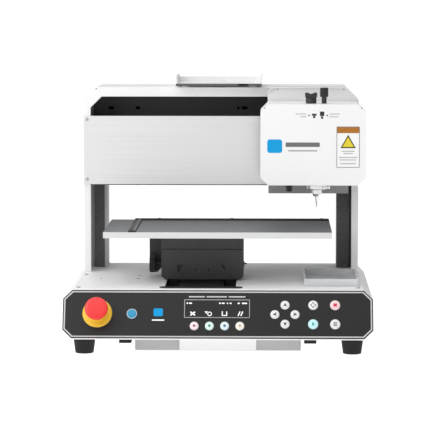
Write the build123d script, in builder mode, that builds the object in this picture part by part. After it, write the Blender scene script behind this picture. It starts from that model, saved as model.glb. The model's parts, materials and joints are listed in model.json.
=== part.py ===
from build123d import *
from math import cos, radians, sin, tan
import os

# A desktop engraving machine: a sheet metal base with a sloping control panel, a portal that carries
# the engraving head along X, and a wedge lift that carries the work table along Y and up.
# Millimetres. +X is the operator's right, +Y is away from the operator, +Z is up.
# Depths are measured backwards from the top edge of the control panel, and heights upwards from a
# datum plane that lies DATUM above the bench, near the ends of the rubber feet.

# ---- driving dimensions -------------------------------------------------------------------------
FRONT_EDGE_Y = -159.76  # Y of the panel's top edge, so that the origin is under the middle
DATUM = 4.0
WIDTH = 480.0
DECK = 97.2  # height of the deck's upper side
UNDERSIDE = 23.4  # height of the base's underside
BASE_REAR = 366.0
LEAN = 25.0  # the panel leans back this many degrees
SHEET = 3.0  # sheet metal of base and portal
BASE_BEVEL = 14.5  # corner of the base's long edges

PANEL_LENGTH = 78.0  # up the slope
PANEL_RISE = 0.4  # its middle above the middle of the slope
PANEL_THICK = 3.0
HOLE_GAP = 0.3  # round a button in its panel hole
RUN_GAP = 0.07  # round a shaft in its bearing

PORTAL_FRONT = 234.0
PORTAL_HALF = 225.0
PORTAL_TOP = 401.0
PORTAL_CORNER = 21.0
UPRIGHT_IN, UPRIGHT_OUT = 191.5, 212.5
UPRIGHT_FRONT, UPRIGHT_REAR = 301.0, 357.0
UPRIGHT_TOP, TIE_TOP = 384.0, 372.0
BEAM_LOW, BEAM_HIGH = 242.0, 354.0  # the beam's front cover
COVER_FRONT = 231.0

SCREW_R = 4.0
X_SCREW_DEPTH, X_SCREW_Z = 258.0, 302.0
Y_SCREW_X, Y_SCREW_Z = -28.5, 69.2
ROD_R, ROD_Z = 6.0, 77.2
ROD_XS = (-74.0, 16.5)
Y_BLOCKS = (137.0, 197.0)  # depths of the Y bearing blocks

HEAD_LEFT, HEAD_RIGHT = 65.0, 231.6
HEAD_LOW, HEAD_HIGH = 251.5, 380.0
HEAD_FRONT, HEAD_BACK = 95.0, 198.0
HEAD_CORNER = 12.0
HEAD_SHEET = 2.5
SPINDLE_X, SPINDLE_DEPTH = 155.0, 132.0
SPINDLE_R = 18.0
TIP_Z, NOSE_Z = 213.6, 231.0
Z_SCREW_X, Z_SCREW_DEPTH = 104.0, 170.0
SLIDE_LEFT, SLIDE_RIGHT = 145.0, 165.0  # the upright slideway on the carriage
KNOB_DEPTH = 125.0
LOCK_X, ADJUSTER_X = 145.3, 166.0

LIFT_X, LIFT_DEPTH = -27.5, 167.0  # middle of the lift
LIFT_HALF_X, LIFT_HALF_Y = 65.5, 50.0
LIFT_WALL = 5.0
LIFT_BASE_Z, LIFT_SEAM_Z, LIFT_TOP_Z = 99.0, 147.0, 173.3
LIFT_FLOOR = 106.0  # inside the lower box
LIFT_SCREW_Z = 119.0
WEDGE_NOSE_Z = 127.0
WEDGE_IN, WEDGE_OUT = 26.0, 57.0  # from the middle of the lift
RAMP_IN, RAMP_OUT = 8.0, 34.0
RAMP_GAP = 0.45

TABLE_LEFT, TABLE_RIGHT, TABLE_FRONT, TABLE_REAR, TABLE_TOP = -180.5, 177.5, 32.0, 240.0, 183.2
RULER_LEFT, RULER_RIGHT, RULER_FRONT = -141.0, -129.5, 227.0  # the two ruler bars on the table
RULER_REBATE, RULER_PROUD = 0.5, 2.3


# ---- helpers ------------------------------------------------------------------------------------
def back(depth):
    """The Y of a point that lies this deep behind the panel's top edge."""
    return FRONT_EDGE_Y + depth


def wall(depth):
    """An upright plane facing the operator; an extrusion of a negative amount goes backwards."""
    return Plane(origin=(0, back(depth), 0), x_dir=(1, 0, 0), z_dir=(0, -1, 0))


def side(x):
    """An upright plane facing +X, whose own axes are Y and Z."""
    return Plane(origin=(x, 0, 0), x_dir=(0, 1, 0), z_dir=(1, 0, 0))


def level(z):
    """A horizontal plane."""
    return Plane.XY.offset(z)


def slope(out=0.0):
    """A plane on the control panel's face, or this far out of it; its own Y goes up the slope."""
    middle = (DECK + UNDERSIDE) / 2 + PANEL_RISE * cos(radians(LEAN))
    run = (DECK - middle) * tan(radians(LEAN))
    facing = Vector(0, -cos(radians(LEAN)), sin(radians(LEAN)))
    origin = Vector(0, back(-run), middle) + facing * out
    return Plane(origin=origin, x_dir=(1, 0, 0), z_dir=facing)


def block(x, depth, z, mode=Mode.ADD):
    """A block between two Xs, two depths and two heights."""
    middle = (sum(x) / 2, back(sum(depth) / 2), sum(z) / 2)
    with Locations(middle):
        Box(x[1] - x[0], depth[1] - depth[0], z[1] - z[0], mode=mode)


def post(x, depth, z, radius, mode=Mode.ADD):
    """An upright round bar or hole between two heights."""
    with Locations((x, back(depth), z[0])):
        Cylinder(radius, z[1] - z[0], align=(Align.CENTER, Align.CENTER, Align.MIN), mode=mode)


def bar_x(x, depth, z, radius, mode=Mode.ADD):
    """A round bar or hole along X."""
    with Locations(Location((x[0], back(depth), z), (0, 90, 0))):
        Cylinder(radius, x[1] - x[0], align=(Align.CENTER, Align.CENTER, Align.MIN), mode=mode)


def bar_y(x, depth, z, radius, mode=Mode.ADD):
    """A round bar or hole along Y."""
    with Locations(Location((x, back(depth[0]), z), (-90, 0, 0))):
        Cylinder(radius, depth[1] - depth[0], align=(Align.CENTER, Align.CENTER, Align.MIN), mode=mode)


def outline(*points, mode=Mode.ADD):
    """A closed straight-edged outline in the sketch that is open."""
    Polygon(*points, align=None, mode=mode)


def keep(piece, name):
    """Sets a finished piece at its height over the bench and writes it under its own name."""
    finished = piece.part.moved(Location((0, 0, DATUM)))
    finished.label = name
    export_step(finished, f"parts/{name}.step")


os.makedirs("parts", exist_ok=True)


# ---- base ---------------------------------------------------------------------------------------
def base_profile(front_inset, low, high):
    """The base's side outline, with its sloping front moved back by front_inset."""
    push = front_inset / cos(radians(LEAN))
    foot = back(push - (DECK - low) * tan(radians(LEAN)))
    head = back(push - (DECK - high) * tan(radians(LEAN)))
    outline((foot, low), (head, high), (back(BASE_REAR), high), (back(BASE_REAR), low))


INNER_HALF = WIDTH / 2 - SHEET
INNER_BEVEL = BASE_BEVEL - SHEET * (2 - 2**0.5)
FLOOR = UNDERSIDE + SHEET
CEILING = DECK - SHEET

with BuildPart() as base_cavity:
    with BuildSketch(side(-INNER_HALF)):
        base_profile(2 * PANEL_THICK, FLOOR, CEILING)
    extrude(amount=2 * INNER_HALF)
    chamfer(base_cavity.edges().filter_by(Axis.Y), INNER_BEVEL)

with BuildPart() as base_housing:
    with BuildSketch(side(-WIDTH / 2)):
        base_profile(0, UNDERSIDE, DECK)
    extrude(amount=WIDTH)
    chamfer(base_housing.edges().filter_by(Axis.Y), BASE_BEVEL)
    add(base_cavity.part, mode=Mode.SUBTRACT)
    # the recess that takes the control panel, and the opening behind it for the controls
    with BuildSketch(slope()):
        Rectangle(WIDTH + 2, PANEL_LENGTH)
    extrude(amount=-PANEL_THICK, mode=Mode.SUBTRACT)
    with BuildSketch(slope()):
        Rectangle(440, 60)
    extrude(amount=-3 * PANEL_THICK, mode=Mode.SUBTRACT)
    # the slot in the deck for the Y saddle, and the opening over the belly pan
    block((-84, 27), (33, 301), (CEILING - 1, DECK + 1), Mode.SUBTRACT)
    block((-118, 118), (12, 336), (UNDERSIDE - 1, FLOOR + 1), Mode.SUBTRACT)
keep(base_housing, "base_housing")

with BuildPart() as panel_blank:
    with BuildSketch(slope()):
        Rectangle(WIDTH, PANEL_LENGTH - 0.2)
        chamfer(vertices(), BASE_BEVEL - 0.5)
    extrude(amount=-PANEL_THICK)

# controls on the panel: name, X, distance up the slope from its middle, radius
ESTOP = (-186.5, 1.3)
BUTTONS = {
    "power_button": (-132.8, 0.3, 7.8),
    "arrow_up_button": (104.0, 15.0, 7.0),
    "arrow_down_button": (104.0, -15.7, 7.0),
    "arrow_left_button": (88.3, -0.2, 7.0),
    "arrow_right_button": (119.4, -0.2, 7.0),
    "centre_button": (147.3, 15.0, 7.5),
    "start_button": (147.3, -15.7, 7.9),
    "stop_button": (181.3, 15.0, 7.9),
    "menu_button": (181.3, -15.7, 7.9),
}
for number in range(4):
    BUTTONS[f"soft_key_{number + 1}"] = (-36.3 + 23.5 * number, -19.0, 6.8)
DISPLAY_AT, DISPLAY_SIZE = (-1.2, 9.0), (102.3, 30.5)

with BuildPart() as control_panel:
    add(panel_blank.part)
    for x, up, radius in BUTTONS.values():
        with BuildSketch(slope()):
            with Locations((x, up)):
                Circle(radius + HOLE_GAP)
        extrude(amount=-PANEL_THICK, mode=Mode.SUBTRACT)
    with BuildSketch(slope()):
        with Locations(ESTOP):
            Circle(11.0)
        with Locations(DISPLAY_AT):
            Rectangle(DISPLAY_SIZE[0] - 8, DISPLAY_SIZE[1] - 8)
    extrude(amount=-PANEL_THICK, mode=Mode.SUBTRACT)
    with BuildSketch(slope()):
        with Locations(DISPLAY_AT):
            Rectangle(*DISPLAY_SIZE)
    extrude(amount=-1.2, mode=Mode.SUBTRACT)
keep(control_panel, "control_panel")

with BuildPart() as display_screen:
    with BuildSketch(slope(0.4)):
        with Locations(DISPLAY_AT):
            Rectangle(DISPLAY_SIZE[0] - 0.2, DISPLAY_SIZE[1] - 0.2)
    extrude(amount=-1.6)
    fillet(display_screen.faces().sort_by(Axis.Y)[0].edges(), 0.3)
keep(display_screen, "display_screen")


def make_button(x, up, radius):
    """A push button: a domed cap, and a collar that holds it behind the panel."""
    with BuildPart() as button:
        with BuildSketch(slope(2.4)):
            with Locations((x, up)):
                Circle(radius)
        extrude(amount=-5.6)
        rim = button.edges().filter_by(GeomType.CIRCLE).sort_by(Axis.Y)[0]
        fillet(rim, 0.8)
        with BuildSketch(slope(-3.2)):
            with Locations((x, up)):
                Circle(radius + 1.2)
        extrude(amount=-1.5)
    return button


for name, (x, up, radius) in BUTTONS.items():
    keep(make_button(x, up, radius), name)

# emergency stop: ring and threaded sleeve, sliding stem, twisting mushroom
STEM_R = 6.0
with BuildPart() as estop_base:
    with BuildSketch(slope(2.5)):
        with Locations(ESTOP):
            Circle(23)
    extrude(amount=-2.5)
    fillet(estop_base.edges().filter_by(GeomType.CIRCLE).sort_by(Axis.Y)[0], 1.2)
    with BuildSketch(slope(6)):
        with Locations(ESTOP):
            Circle(14)
    extrude(amount=-6)
    with BuildSketch(slope()):
        with Locations(ESTOP):
            Circle(10.8)
    extrude(amount=-24)
    with BuildSketch(slope(-PANEL_THICK)):
        with Locations(ESTOP):
            Circle(15)
    extrude(amount=-4)
    with BuildSketch(slope(7)):
        with Locations(ESTOP):
            Circle(STEM_R + RUN_GAP)
    extrude(amount=-40, mode=Mode.SUBTRACT)
keep(estop_base, "estop_base")

with BuildPart() as estop_stem:
    with BuildSketch(slope(20)):
        with Locations(ESTOP):
            Circle(STEM_R)
    extrude(amount=-50)
    with BuildSketch(slope(-29)):
        with Locations(ESTOP):
            Circle(9)
    extrude(amount=-3)
keep(estop_stem, "estop_stem")

MUSHROOM_FOOT_R, MUSHROOM_R = 14.6, 18.0
with BuildPart() as estop_mushroom:
    with BuildSketch(slope(11)):
        with Locations(ESTOP):
            Circle(MUSHROOM_FOOT_R)
    with BuildSketch(slope(24)):
        with Locations(ESTOP):
            Circle(MUSHROOM_R)
    loft()
    with BuildSketch(slope(24)):
        with Locations(ESTOP):
            Circle(MUSHROOM_R)
    extrude(amount=4)
    fillet(estop_mushroom.edges().filter_by(GeomType.CIRCLE).sort_by(Axis.Y)[0], 1.5)
    with BuildSketch(slope(11)):
        with Locations(ESTOP):
            Circle(STEM_R + RUN_GAP)
    extrude(amount=9.3, mode=Mode.SUBTRACT)
keep(estop_mushroom, "estop_mushroom")

FOOT_X, FOOT_DEPTHS, FOOT_R, FOOT_TOP_R = 208.7, (14.0, 340.0), 14.3, 18.0
with BuildPart() as rubber_feet:
    for x in (-FOOT_X, FOOT_X):
        for depth in FOOT_DEPTHS:
            with Locations((x, back(depth), (UNDERSIDE - DATUM) / 2)):
                Cone(FOOT_R, FOOT_TOP_R, UNDERSIDE + DATUM)
    for x in (-143, 143):
        block((x - 9.5, x + 9.5), (-24, -4), (UNDERSIDE - 7, UNDERSIDE))
keep(rubber_feet, "rubber_feet")

PAN_HALF, PAN_FRONT, PAN_REAR, PAN_LOW = 128.5, -8.0, 345.0, 3.2
with BuildPart() as belly_pan:
    block((-PAN_HALF, PAN_HALF), (PAN_FRONT, PAN_REAR), (PAN_LOW, UNDERSIDE))
    fillet(belly_pan.edges().filter_by(Axis.Z), 2)
    block((-PAN_HALF + 2, PAN_HALF - 2), (PAN_FRONT + 2, PAN_REAR - 2), (PAN_LOW + 2, UNDERSIDE + 1),
          Mode.SUBTRACT)
    block((-59.5, 59.5), (PAN_FRONT - 3, PAN_FRONT), (PAN_LOW + 1, UNDERSIDE - 0.5))
keep(belly_pan, "belly_pan")

with BuildPart() as slot_cover:
    block((-64, 7), (20, 313), (CEILING - 2, CEILING))
    for first, last in ((14, 33), (301, 320)):
        middle = back((first + last) / 2)
        with BuildSketch(level(DECK)):
            with Locations((-27, middle)):
                SlotOverall(130, last - first)
        extrude(amount=1.2)
keep(slot_cover, "slot_cover")

TRAY_X, TRAY_DEPTH, TRAY_HIGH, TRAY_WALL = (134.2, 219.6), (42.0, 184.0), 12.0, 2.5
with BuildPart() as tool_tray:
    block(TRAY_X, TRAY_DEPTH, (DECK, DECK + TRAY_HIGH))
    fillet(tool_tray.edges().filter_by(Axis.Z), 2)
    block((TRAY_X[0] + TRAY_WALL, TRAY_X[1] - TRAY_WALL),
          (TRAY_DEPTH[0] + TRAY_WALL, TRAY_DEPTH[1] - TRAY_WALL),
          (DECK + 3, DECK + TRAY_HIGH + 1), Mode.SUBTRACT)
keep(tool_tray, "tool_tray")

INLET_X, SWITCH_X, REAR_Z = -170.0, -120.0, 60.0
ROCKER_R, ROCKER_DEPTH = 10.0, 359.0
with BuildPart() as rear_panels:
    # the base's back
    with BuildSketch(wall(BASE_REAR - SHEET)):
        with Locations((0, (FLOOR + CEILING) / 2)):
            Rectangle(2 * INNER_HALF - 0.1, CEILING - FLOOR - 0.1)
        chamfer(vertices(), INNER_BEVEL)
        with Locations((INLET_X, REAR_Z)):
            Rectangle(28, 21, mode=Mode.SUBTRACT)
        with Locations((SWITCH_X, REAR_Z)):
            Rectangle(14.8, 19.4, mode=Mode.SUBTRACT)
    extrude(amount=-SHEET)
    # the portal's back, above the table's way through
    with BuildSketch(wall(BASE_REAR - SHEET)):
        reach, top = PORTAL_HALF - SHEET, PORTAL_TOP - SHEET
        corner = PORTAL_CORNER - SHEET * (2 - 2**0.5)
        outline((-reach, BEAM_LOW), (-reach, top - corner), (-reach + corner, top),
                (reach - corner, top), (reach, top - corner), (reach, BEAM_LOW))
        with GridLocations(24, 0, 12, 1):
            with Locations((0, 300)):
                SlotOverall(24, 4, rotation=90, mode=Mode.SUBTRACT)
    extrude(amount=-SHEET)
keep(rear_panels, "rear_panels")

with BuildPart() as power_inlet:
    with BuildSketch(wall(BASE_REAR)):
        with Locations((INLET_X, REAR_Z)):
            Rectangle(40, 28)
    extrude(amount=-2.5)
    with BuildSketch(wall(BASE_REAR)):
        with Locations((INLET_X, REAR_Z)):
            Rectangle(27.8, 20.8)
    extrude(amount=24)
    with BuildSketch(wall(BASE_REAR + 3)):
        with Locations((INLET_X, REAR_Z)):
            Rectangle(24, 17)
    extrude(amount=25, mode=Mode.SUBTRACT)
    # the three blades of the socket
    with BuildSketch(wall(BASE_REAR - 22)):
        with Locations((INLET_X, REAR_Z)):
            with GridLocations(7, 0, 3, 1):
                Rectangle(2, 5)
    extrude(amount=-16)
keep(power_inlet, "power_inlet")

with BuildPart() as rocker_switch:
    bar_x((SWITCH_X - 7.2, SWITCH_X + 7.2), ROCKER_DEPTH, REAR_Z, ROCKER_R)
    # a shallow valley across the outer side, and a flat inner side
    with Locations(Location((SWITCH_X, back(ROCKER_DEPTH + ROCKER_R + 23), REAR_Z), (0, 90, 0))):
        Cylinder(24.5, 30, mode=Mode.SUBTRACT)
    block((SWITCH_X - 10, SWITCH_X + 10), (ROCKER_DEPTH - 20, ROCKER_DEPTH - 6), (40, 80),
          Mode.SUBTRACT)
keep(rocker_switch, "rocker_switch")

with BuildPart() as controller_board:
    with BuildSketch(level(FLOOR)):
        with Locations((170, back(130))):
            with GridLocations(76, 130, 2, 2):
                Circle(3)
    extrude(amount=8)
    block((127, 213), (60, 200), (FLOOR + 8, FLOOR + 9.6))
    block((140, 160), (80, 104), (FLOOR + 9.6, FLOOR + 22))
    block((175, 205), (90, 120), (FLOOR + 9.6, FLOOR + 16))
    for number in range(3):
        block((135 + 26 * number, 155 + 26 * number), (150, 175), (FLOOR + 9.6, FLOOR + 24))
keep(controller_board, "controller_board")

with BuildPart() as power_supply:
    block((-216, -126), (70, 220), (FLOOR, FLOOR + 40))
    fillet(power_supply.edges().filter_by(Axis.Y), 1.5)
keep(power_supply, "power_supply")


# ---- portal -------------------------------------------------------------------------------------
def portal_outline(half, top, corner, low, mode=Mode.ADD):
    """The portal's outline from the front, with its two upper corners cut off."""
    outline((-half, low), (-half, top - corner), (-half + corner, top),
            (half - corner, top), (half, top - corner), (half, low), mode=mode)


with BuildPart() as portal_shell:
    with BuildSketch(wall(PORTAL_FRONT)):
        portal_outline(PORTAL_HALF, PORTAL_TOP, PORTAL_CORNER, DECK)
        portal_outline(PORTAL_HALF - SHEET, PORTAL_TOP - SHEET,
                       PORTAL_CORNER - SHEET * (2 - 2**0.5), DECK - 1, Mode.SUBTRACT)
    extrude(amount=-(BASE_REAR - PORTAL_FRONT))
    with BuildSketch(wall(PORTAL_FRONT)):
        portal_outline(PORTAL_HALF, PORTAL_TOP, PORTAL_CORNER, DECK)
        portal_outline(213.6, 385.5, 18.2, DECK - 1, Mode.SUBTRACT)
    extrude(amount=-SHEET)
keep(portal_shell, "portal_shell")

with BuildPart() as uprights:
    for sign in (-1, 1):
        wide, deep = UPRIGHT_OUT - UPRIGHT_IN, UPRIGHT_REAR - UPRIGHT_FRONT
        with BuildSketch(level(DECK)):
            with Locations((sign * (UPRIGHT_IN + UPRIGHT_OUT) / 2, back(UPRIGHT_FRONT + deep / 2))):
                Rectangle(wide, deep)
                Rectangle(wide - 8, deep - 8, mode=Mode.SUBTRACT)
        extrude(amount=UPRIGHT_TOP - DECK)
        # the flange that ties the upright to the portal's side wall
        with BuildSketch(level(DECK)):
            with Locations((sign * (UPRIGHT_OUT + PORTAL_HALF - SHEET) / 2, back(UPRIGHT_FRONT + 12))):
                Rectangle(PORTAL_HALF - SHEET - UPRIGHT_OUT, 5)
        extrude(amount=TIE_TOP - DECK)
keep(uprights, "uprights")

with BuildPart() as crossbeam:
    block((-UPRIGHT_IN, UPRIGHT_IN), (268, 318), (262, 342))
    block((-UPRIGHT_IN - 1, UPRIGHT_IN + 1), (272, 314), (266, 338), Mode.SUBTRACT)
keep(crossbeam, "crossbeam")

RAIL_ZS = (278.0, 326.0)
with BuildPart() as guide_rails:
    for z in RAIL_ZS:
        block((-190, 190), (260, 268), (z - 6, z + 6))
    for x in ROD_XS:
        bar_y(x, (20, 313), ROD_Z, ROD_R)
keep(guide_rails, "guide_rails")

with BuildPart() as screw_bearings:
    for x0, x1 in ((-197, -UPRIGHT_IN), (UPRIGHT_IN, 197)):
        block((x0, x1), (251, UPRIGHT_FRONT), (288, 316))
        bar_x((x0 - 1, x1 + 1), X_SCREW_DEPTH, X_SCREW_Z, SCREW_R + RUN_GAP, Mode.SUBTRACT)
    for first, last in ((20, 32), (301.5, 313)):
        block((-95, 38), (first, last), (57, CEILING))
        block((-64, 7), (first - 1, last + 1), (CEILING - 2, CEILING + 1), Mode.SUBTRACT)
        for x in ROD_XS:
            bar_y(x, (first - 1, last + 1), ROD_Z, ROD_R, Mode.SUBTRACT)
        bar_y(Y_SCREW_X, (first - 1, last + 1), Y_SCREW_Z, SCREW_R + RUN_GAP, Mode.SUBTRACT)
keep(screw_bearings, "screw_bearings")

with BuildPart() as drive_motors:
    block((-221, -197), (238, 278), (X_SCREW_Z - 20, X_SCREW_Z + 20))
    bar_x((-206, -196), X_SCREW_DEPTH, X_SCREW_Z, SCREW_R + RUN_GAP, Mode.SUBTRACT)
    block((Y_SCREW_X - 20, Y_SCREW_X + 20), (313, 353), (Y_SCREW_Z - 20, Y_SCREW_Z + 20))
    bar_y(Y_SCREW_X, (312, 324), Y_SCREW_Z, SCREW_R + RUN_GAP, Mode.SUBTRACT)
    chamfer(drive_motors.edges().filter_by(Axis.Y).filter_by_position(
        Axis.Y, back(331), back(335)), 3)
keep(drive_motors, "drive_motors")

with BuildPart() as beam_front_cover:
    block((-PORTAL_HALF, PORTAL_HALF), (COVER_FRONT, PORTAL_FRONT), (BEAM_LOW, BEAM_HIGH))
    block((-212, 212), (PORTAL_FRONT, 260), (BEAM_LOW, BEAM_LOW + 2))
    block((-212, 212), (PORTAL_FRONT, 238), (BEAM_HIGH - 2, BEAM_HIGH))
    with BuildSketch(wall(COVER_FRONT)):
        with GridLocations(440, 98, 2, 2):
            with Locations((0, 299)):
                Circle(1.6)
    extrude(amount=-3, mode=Mode.SUBTRACT)
keep(beam_front_cover, "beam_front_cover")

with BuildPart() as case_screws:
    with BuildSketch(wall(COVER_FRONT)):
        with GridLocations(440, 98, 2, 2):
            with Locations((0, 299)):
                Circle(3)
    extrude(amount=1.4)
    with BuildSketch(wall(COVER_FRONT)):
        with GridLocations(440, 98, 2, 2):
            with Locations((0, 299)):
                Circle(1.6)
    extrude(amount=-3)
    for x in (-218, 218):
        for depth in (19, 189):
            post(x, depth, (DECK, DECK + 1.6), 3)
keep(case_screws, "case_screws")

SHELF_X, SHELF_HALF, SHELF_FRONT, SHELF_REAR = -3.3, 69.8, 213.5, 345.0
SHELF_LOW, SHELF_HIGH, SHELF_BACK = PORTAL_TOP + 2.5, PORTAL_TOP + 18.5, PORTAL_TOP + 13.5
SHELF_SHEET, SHELF_FLARE, SHELF_LIP = 2.5, 1.2, 4.2
with BuildPart() as accessory_shelf:
    across = (SHELF_X - SHELF_HALF, SHELF_X + SHELF_HALF)
    block(across, (SHELF_FRONT, SHELF_REAR), (SHELF_LOW, SHELF_LOW + SHELF_SHEET))
    block(across, (SHELF_FRONT, SHELF_FRONT + SHELF_SHEET), (SHELF_LOW, SHELF_LOW + SHELF_LIP))
    block(across, (SHELF_REAR - SHELF_SHEET, SHELF_REAR), (SHELF_LOW, SHELF_BACK))
    for sign in (-1, 1):
        outer, inner = sign * SHELF_HALF, sign * (SHELF_HALF - SHELF_SHEET)
        with BuildSketch(wall(SHELF_FRONT)):
            with Locations((SHELF_X, 0)):
                outline((outer, SHELF_LOW), (outer + sign * SHELF_FLARE, SHELF_HIGH),
                        (inner + sign * SHELF_FLARE, SHELF_HIGH), (inner, SHELF_LOW))
        extrude(amount=-(SHELF_REAR - SHELF_FRONT))
        # the spacers that it stands on
        for depth in (245, 330):
            post(SHELF_X + sign * 55, depth, (PORTAL_TOP, SHELF_LOW), 6)
    slot_low = SHELF_LOW + SHELF_SHEET + 0.2
    block((28, 44.5), (SHELF_FRONT - 1, SHELF_FRONT + 3), (slot_low, slot_low + 1.2), Mode.SUBTRACT)
keep(accessory_shelf, "accessory_shelf")

# ---- X drive and carriage -----------------------------------------------------------------------
with BuildPart() as x_screw:
    bar_x((-205, 197), X_SCREW_DEPTH, X_SCREW_Z, SCREW_R)
keep(x_screw, "x_screw")

SADDLE = (105.0, 185.0)
PLATE_FRONT, PLATE_BACK = 200.0, 212.0
with BuildPart() as carriage_plate:
    with BuildSketch(wall(PLATE_FRONT)):
        outline((77.6, 230), (77.6, 345), (76.3, 345), (76.3, 396), (83.3, 403), (202, 403),
                (223, 383), (223, 345), (207.5, 345), (207.5, 230))
    extrude(amount=-(PLATE_BACK - PLATE_FRONT))
    block(SADDLE, (PLATE_BACK, 250), (360, 380))
    block(SADDLE, (240, 250), (262, 380))
    # the upright slideway, and the nut that the Z screw runs in
    block((SLIDE_LEFT, SLIDE_RIGHT), (190, PLATE_FRONT), (240, 350))
    block((Z_SCREW_X - 10, Z_SCREW_X + 10), (160, PLATE_FRONT), (288, 300))
    post(Z_SCREW_X, Z_SCREW_DEPTH, (287, 301), SCREW_R + RUN_GAP, Mode.SUBTRACT)
keep(carriage_plate, "carriage_plate")

with BuildPart() as x_bearing_blocks:
    for z in RAIL_ZS:
        block((110, 180), (250, 266), (z - 13, z + 13))
        block((109, 181), (260 - RUN_GAP, 267), (z - 6 - RUN_GAP, z + 6 + RUN_GAP), Mode.SUBTRACT)
    block((125, 165), (250, 266), (X_SCREW_Z - 10, X_SCREW_Z + 10))
    bar_x((124, 166), X_SCREW_DEPTH, X_SCREW_Z, SCREW_R + RUN_GAP, Mode.SUBTRACT)
keep(x_bearing_blocks, "x_bearing_blocks")

# ---- engraving head -----------------------------------------------------------------------------
with BuildPart() as head_bracket:
    block((125, 185), (178, 199.5), (258, 350))
    block((SPINDLE_X - 24, SPINDLE_X + 24), (108, 178), (265, 305))
    block((HEAD_LEFT + HEAD_SHEET, HEAD_RIGHT - HEAD_SHEET), (150, 189), (329, 335))
    block((SLIDE_LEFT - RUN_GAP, SLIDE_RIGHT + RUN_GAP), (190 - RUN_GAP, 201), (250, 360),
          Mode.SUBTRACT)
    post(SPINDLE_X, SPINDLE_DEPTH, (264, 336), SPINDLE_R, Mode.SUBTRACT)
    post(Z_SCREW_X, Z_SCREW_DEPTH, (328, 336), SCREW_R + 1, Mode.SUBTRACT)
keep(head_bracket, "head_bracket")


def head_outline(inset, mode=Mode.ADD):
    """The head cover's outline from the front, moved inwards by inset."""
    left, right = HEAD_LEFT + inset, HEAD_RIGHT - inset
    low, high = HEAD_LOW + inset, HEAD_HIGH - inset
    corner = HEAD_CORNER - inset * (2 - 2**0.5)
    outline((left, low + corner), (left, high - corner), (left + corner, high),
            (right - corner, high), (right, high - corner), (right, low + corner),
            (right - corner, low), (left + corner, low), mode=mode)


with BuildPart() as head_cover:
    with BuildSketch(wall(HEAD_FRONT)):
        head_outline(0)
    extrude(amount=-(HEAD_BACK - HEAD_FRONT))
    with BuildSketch(wall(HEAD_FRONT + HEAD_SHEET)):
        head_outline(HEAD_SHEET)
    extrude(amount=-(HEAD_BACK - HEAD_FRONT), mode=Mode.SUBTRACT)
    block((85, 212), (105, HEAD_BACK + 1), (HEAD_LOW - 1, HEAD_LOW + HEAD_SHEET + 1), Mode.SUBTRACT)
    post(LOCK_X, KNOB_DEPTH, (HEAD_HIGH - 5, HEAD_HIGH + 1), 3 + RUN_GAP, Mode.SUBTRACT)
    post(ADJUSTER_X, KNOB_DEPTH, (HEAD_HIGH - 5, HEAD_HIGH + 1), 4 + RUN_GAP, Mode.SUBTRACT)
keep(head_cover, "head_cover")

with BuildPart() as z_drive_motor:
    block((Z_SCREW_X - 19, Z_SCREW_X + 19), (151, 189), (335, 371))
    post(Z_SCREW_X, Z_SCREW_DEPTH, (334, 344), SCREW_R + RUN_GAP, Mode.SUBTRACT)
keep(z_drive_motor, "z_drive_motor")

with BuildPart() as z_screw:
    post(Z_SCREW_X, Z_SCREW_DEPTH, (260, 343), SCREW_R)
keep(z_screw, "z_screw")

CUTTER_R, DRIVE_R = 3.0, 5.0
with BuildPart() as spindle_housing:
    post(SPINDLE_X, SPINDLE_DEPTH, (258, 320), SPINDLE_R)
    post(SPINDLE_X, SPINDLE_DEPTH, (257, 321), CUTTER_R + RUN_GAP, Mode.SUBTRACT)
    post(SPINDLE_X, SPINDLE_DEPTH, (264, 276), DRIVE_R + 0.3, Mode.SUBTRACT)
keep(spindle_housing, "spindle_housing")

with BuildPart() as spindle_motor:
    post(SPINDLE_X, SPINDLE_DEPTH, (320, 365), SPINDLE_R)
    chamfer(spindle_motor.edges().filter_by(GeomType.CIRCLE).sort_by(Axis.Z)[-1], 2)
    post(SPINDLE_X, SPINDLE_DEPTH, (319, 326), CUTTER_R + RUN_GAP, Mode.SUBTRACT)
keep(spindle_motor, "spindle_motor")

with BuildPart() as spindle_nose:
    post(SPINDLE_X, SPINDLE_DEPTH, (243, 258), 16)
    post(SPINDLE_X, SPINDLE_DEPTH, (235, 243), 8)
    with Locations((SPINDLE_X, back(SPINDLE_DEPTH), 233)):
        Cone(5, 8, 4)
    block((SPINDLE_X + 8, SPINDLE_X + 21), (SPINDLE_DEPTH - 6, SPINDLE_DEPTH + 6), (243, 251))
    post(SPINDLE_X, SPINDLE_DEPTH, (230, 259), CUTTER_R + RUN_GAP, Mode.SUBTRACT)
keep(spindle_nose, "spindle_nose")

with BuildPart() as cutter:
    post(SPINDLE_X, SPINDLE_DEPTH, (NOSE_Z, 325), CUTTER_R)
    post(SPINDLE_X, SPINDLE_DEPTH, (264.3, 275.7), DRIVE_R)
    with Locations((SPINDLE_X, back(SPINDLE_DEPTH), (TIP_Z + NOSE_Z) / 2)):
        Cone(1.2, CUTTER_R, NOSE_Z - TIP_Z)
keep(cutter, "cutter")

with BuildPart() as pointer_block:
    block((105.4, 116.2), (122, 142), (239.5, 248))
    block((107, 113), (129, 135), (248, 272))
    block((107, SPINDLE_X - 24), (129, 135), (266, 272))
keep(pointer_block, "pointer_block")

with BuildPart() as pressure_lock_knob:
    post(LOCK_X, KNOB_DEPTH, (368, 381), 3)
    post(LOCK_X, KNOB_DEPTH, (HEAD_HIGH + 0.3, 388.3), 8.6)
    with BuildSketch(wall(KNOB_DEPTH - 3.5)):
        outline((LOCK_X - 8, 388.3), (LOCK_X - 9.6, 390), (LOCK_X - 9.6, 397.3), (LOCK_X - 5, 397.3),
                (LOCK_X, 395), (LOCK_X + 5, 397.3), (LOCK_X + 9.6, 397.3), (LOCK_X + 9.6, 390),
                (LOCK_X + 8, 388.3))
    extrude(amount=-7)
keep(pressure_lock_knob, "pressure_lock_knob")

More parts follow.
